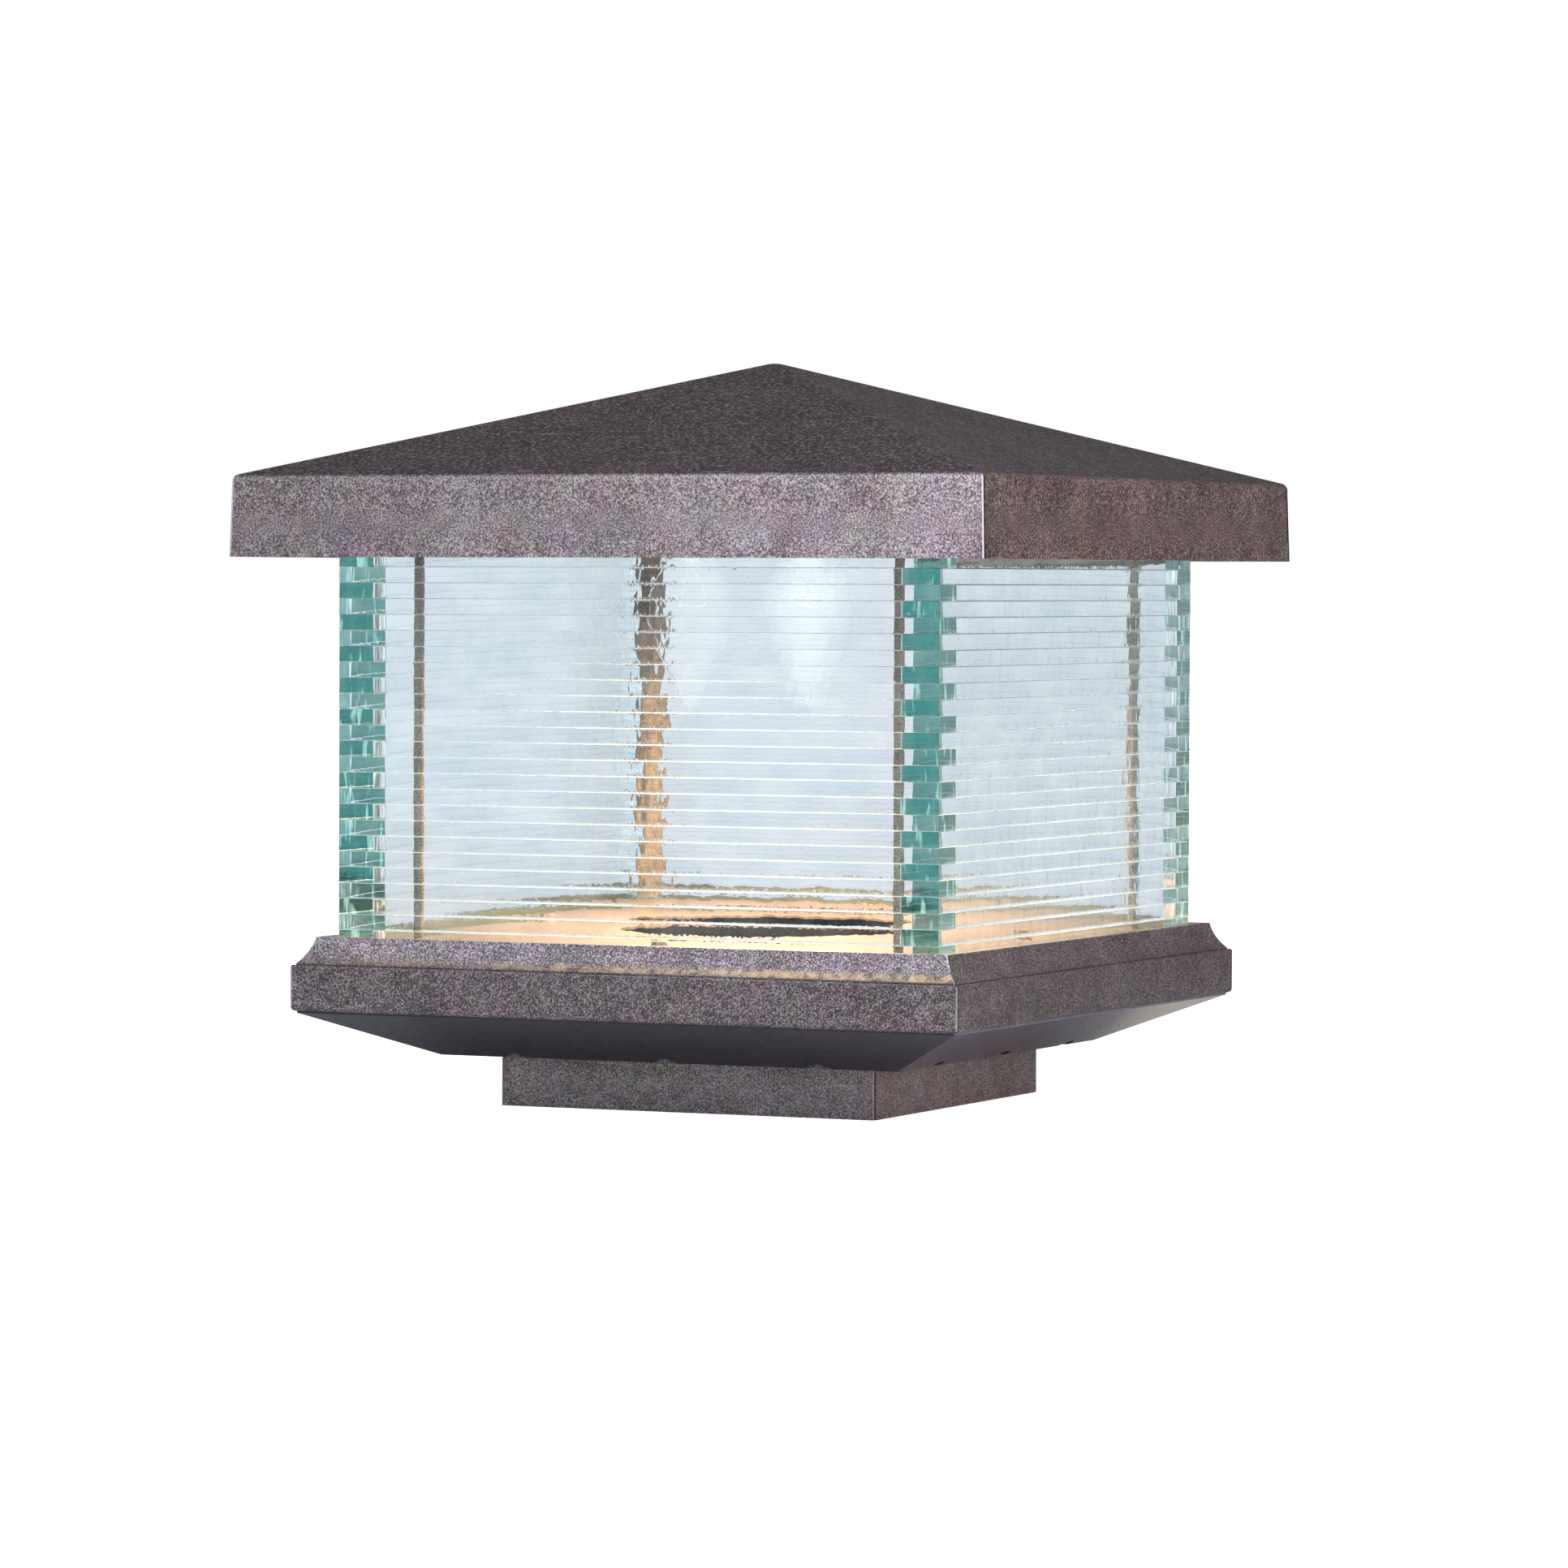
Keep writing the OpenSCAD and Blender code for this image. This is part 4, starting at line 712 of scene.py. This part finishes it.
# The light that the lamps throw down on the floor plate, warmer than they look.
lamp_power, lamp_radius, over_tip = 2.6, 0.012, 0.045
for number in (1, 2, 3):
    low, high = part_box(f"lamp_glass_{number}")
    name = f"lamp_light_{number}"
    lamp = bpy.data.objects.new(name, bpy.data.lights.new(name, "SPOT"))
    scene.collection.objects.link(lamp)
    lamp.location = ((low.x + high.x) / 2, (low.y + high.y) / 2, low.z + over_tip)
    lamp.data.energy, lamp.data.shadow_soft_size = lamp_power, lamp_radius
    lamp.data.color = linear("#ffd7b3")[:3]
    lamp.data.spot_size, lamp.data.spot_blend = math.radians(175), 1.0
    lamp.visible_camera = lamp.visible_transmission = False

# ---- Leads and wire nuts ----
# Copper wire insulated with PVC, black, white and green, with a soft gloss that was handled dull
# in places. The wire nuts are moulded from a hard orange plastic.
for name, tone, shade, members in (
        ("pvc_lead_black", "#1b1b1d", "#171719", ("supply_lead_black", "holder_leads_black")),
        ("pvc_lead_white", "#e4e2da", "#cecdc5", ("supply_lead_white", "holder_leads_white")),
        ("pvc_lead_green", "#2f8a45", "#2a7d3e", ("ground_lead",)),
        ("moulded_wire_nut", "#d8742c", "#c36827", ("wire_nuts",))):
    finish_nodes(clouded(name, tone, shade, scale=400.0, detail=3.0, gloss=(0.3, 0.5)), *members)

# ---- Roof ----
# A low hipped cap folded from steel sheet and brazed at its corners. The fascia has a painted
# highlight, brightest near the front right corner. The slopes, whose faces look up, are drawn
# darker, and the clips and screws that hold the cap take the pan's bronze, painted near black for
# shade.
roof_bronze = rubbed_bronze("hand_rubbed_bronze_roof", "#463b3d", "#7c7073", "#bdb3b8", seams=1.0)
tree = roof_bronze.node_tree
skin = tree.nodes["Principled BSDF"]
rubbed_and_lit = skin.inputs["Base Color"].links[0].from_socket
place = add(tree, "ShaderNodeTexCoord")
outwards = add(tree, "ShaderNodeNewGeometry").outputs["True Normal"]
facing = add(tree, "ShaderNodeSeparateXYZ", {0: outwards})

# Slopes: dark patches of 40 mm where the faces look up, grit of 1.6 mm, and a few scratches askew,
# which are drawn 0.7 mm wide to show.
dark_patch, less_dark_patch = (0.07, 0.055, 0.062, 1), (0.17, 0.13, 0.135, 1)
slope = add(tree, "ShaderNodeMapRange",
            {"Value": facing.outputs["Z"], "From Min": 0.45, "From Max": 0.9})
patch_noise = add(tree, "ShaderNodeTexNoise",
              {"Vector": place.outputs["Object"], "Scale": 26.0, "Detail": 4.0,
               "Roughness": 0.6})
patch = add(tree, "ShaderNodeMapRange",
            {"Value": patch_noise.outputs["Fac"], "From Min": 0.36, "From Max": 0.64})
patches = add(tree, "ShaderNodeMix",
              {0: patch.outputs[0], 6: dark_patch, 7: less_dark_patch},
              data_type="RGBA")
dulled = add(tree, "ShaderNodeMix", {0: 1.0, 6: rubbed_and_lit, 7: patches.outputs[2]},
             data_type="RGBA", blend_type="MULTIPLY")
grit = add(tree, "ShaderNodeTexNoise",
           {"Vector": place.outputs["Object"], "Scale": 640.0, "Detail": 3.0,
            "Roughness": 0.8})
speckle = add(tree, "ShaderNodeMapRange",
              {"Value": grit.outputs["Fac"], "From Min": 0.50, "From Max": 0.70})
askew = add(tree, "ShaderNodeMapping",
            {"Vector": place.outputs["Object"], "Rotation": (0, 0, 0.7),
             "Scale": (60, 1500, 60)})
scuff = add(tree, "ShaderNodeTexNoise", {"Vector": askew.outputs[0], "Scale": 1.0, "Detail": 0.0})
scratch = add(tree, "ShaderNodeMapRange",
              {"Value": scuff.outputs["Fac"], "From Min": 0.79, "From Max": 0.83})
marks = add(tree, "ShaderNodeMath", {0: speckle.outputs[0], 1: scratch.outputs[0]},
            operation="MAXIMUM")
speckled = add(tree, "ShaderNodeMix",
               {0: marks.outputs[0], 6: dulled.outputs[2], 7: linear("#998c8e")},
               data_type="RGBA")

# Fascia: a painted highlight towards the front right corner; on the right side, a browner, sharper
# colour painted for a warm light.
highlight_centre = (0.165, -0.165, 0.24)
warm_light_right = (1.82, 1.66, 1.50, 1)
away = add(tree, "ShaderNodeVectorMath", {0: place.outputs["Object"], 1: highlight_centre},
           operation="DISTANCE")
corner_highlight = add(tree, "ShaderNodeMapRange",
             {"Value": away.outputs["Value"], "From Min": 0.02, "From Max": 0.34,
              "To Min": 1.32, "To Max": 0.88})
highlighted = add(tree, "ShaderNodeMix", {0: 1.0, 6: rubbed_and_lit, 7: corner_highlight.outputs[0]},
             data_type="RGBA", blend_type="MULTIPLY")
# Painted light: the right side is browner and sharper, for a warm light from the right.
right_side = add(tree, "ShaderNodeMapRange",
                 {"Value": facing.outputs["X"], "From Min": 0.5, "From Max": 0.9})
sharper = add(tree, "ShaderNodeGamma", {"Color": rubbed_and_lit, "Gamma": 1.6})
warm_lit_right = add(tree, "ShaderNodeMix", {0: 1.0, 6: sharper.outputs[0], 7: warm_light_right},
              data_type="RGBA", blend_type="MULTIPLY")
fascia = add(tree, "ShaderNodeMix",
             {0: right_side.outputs[0], 6: highlighted.outputs[2], 7: warm_lit_right.outputs[2]},
             data_type="RGBA")
tint = add(tree, "ShaderNodeMix",
           {0: slope.outputs[0], 6: fascia.outputs[2], 7: speckled.outputs[2]},
           data_type="RGBA")
tree.links.new(tint.outputs[2], skin.inputs["Base Color"])
finish_nodes(roof_bronze, "roof_cap")
# The clips and screws take the pan's bronze, painted near black for shade.
finish_nodes(shaded_pan_bronze, "roof_corner_clips", "roof_screws")
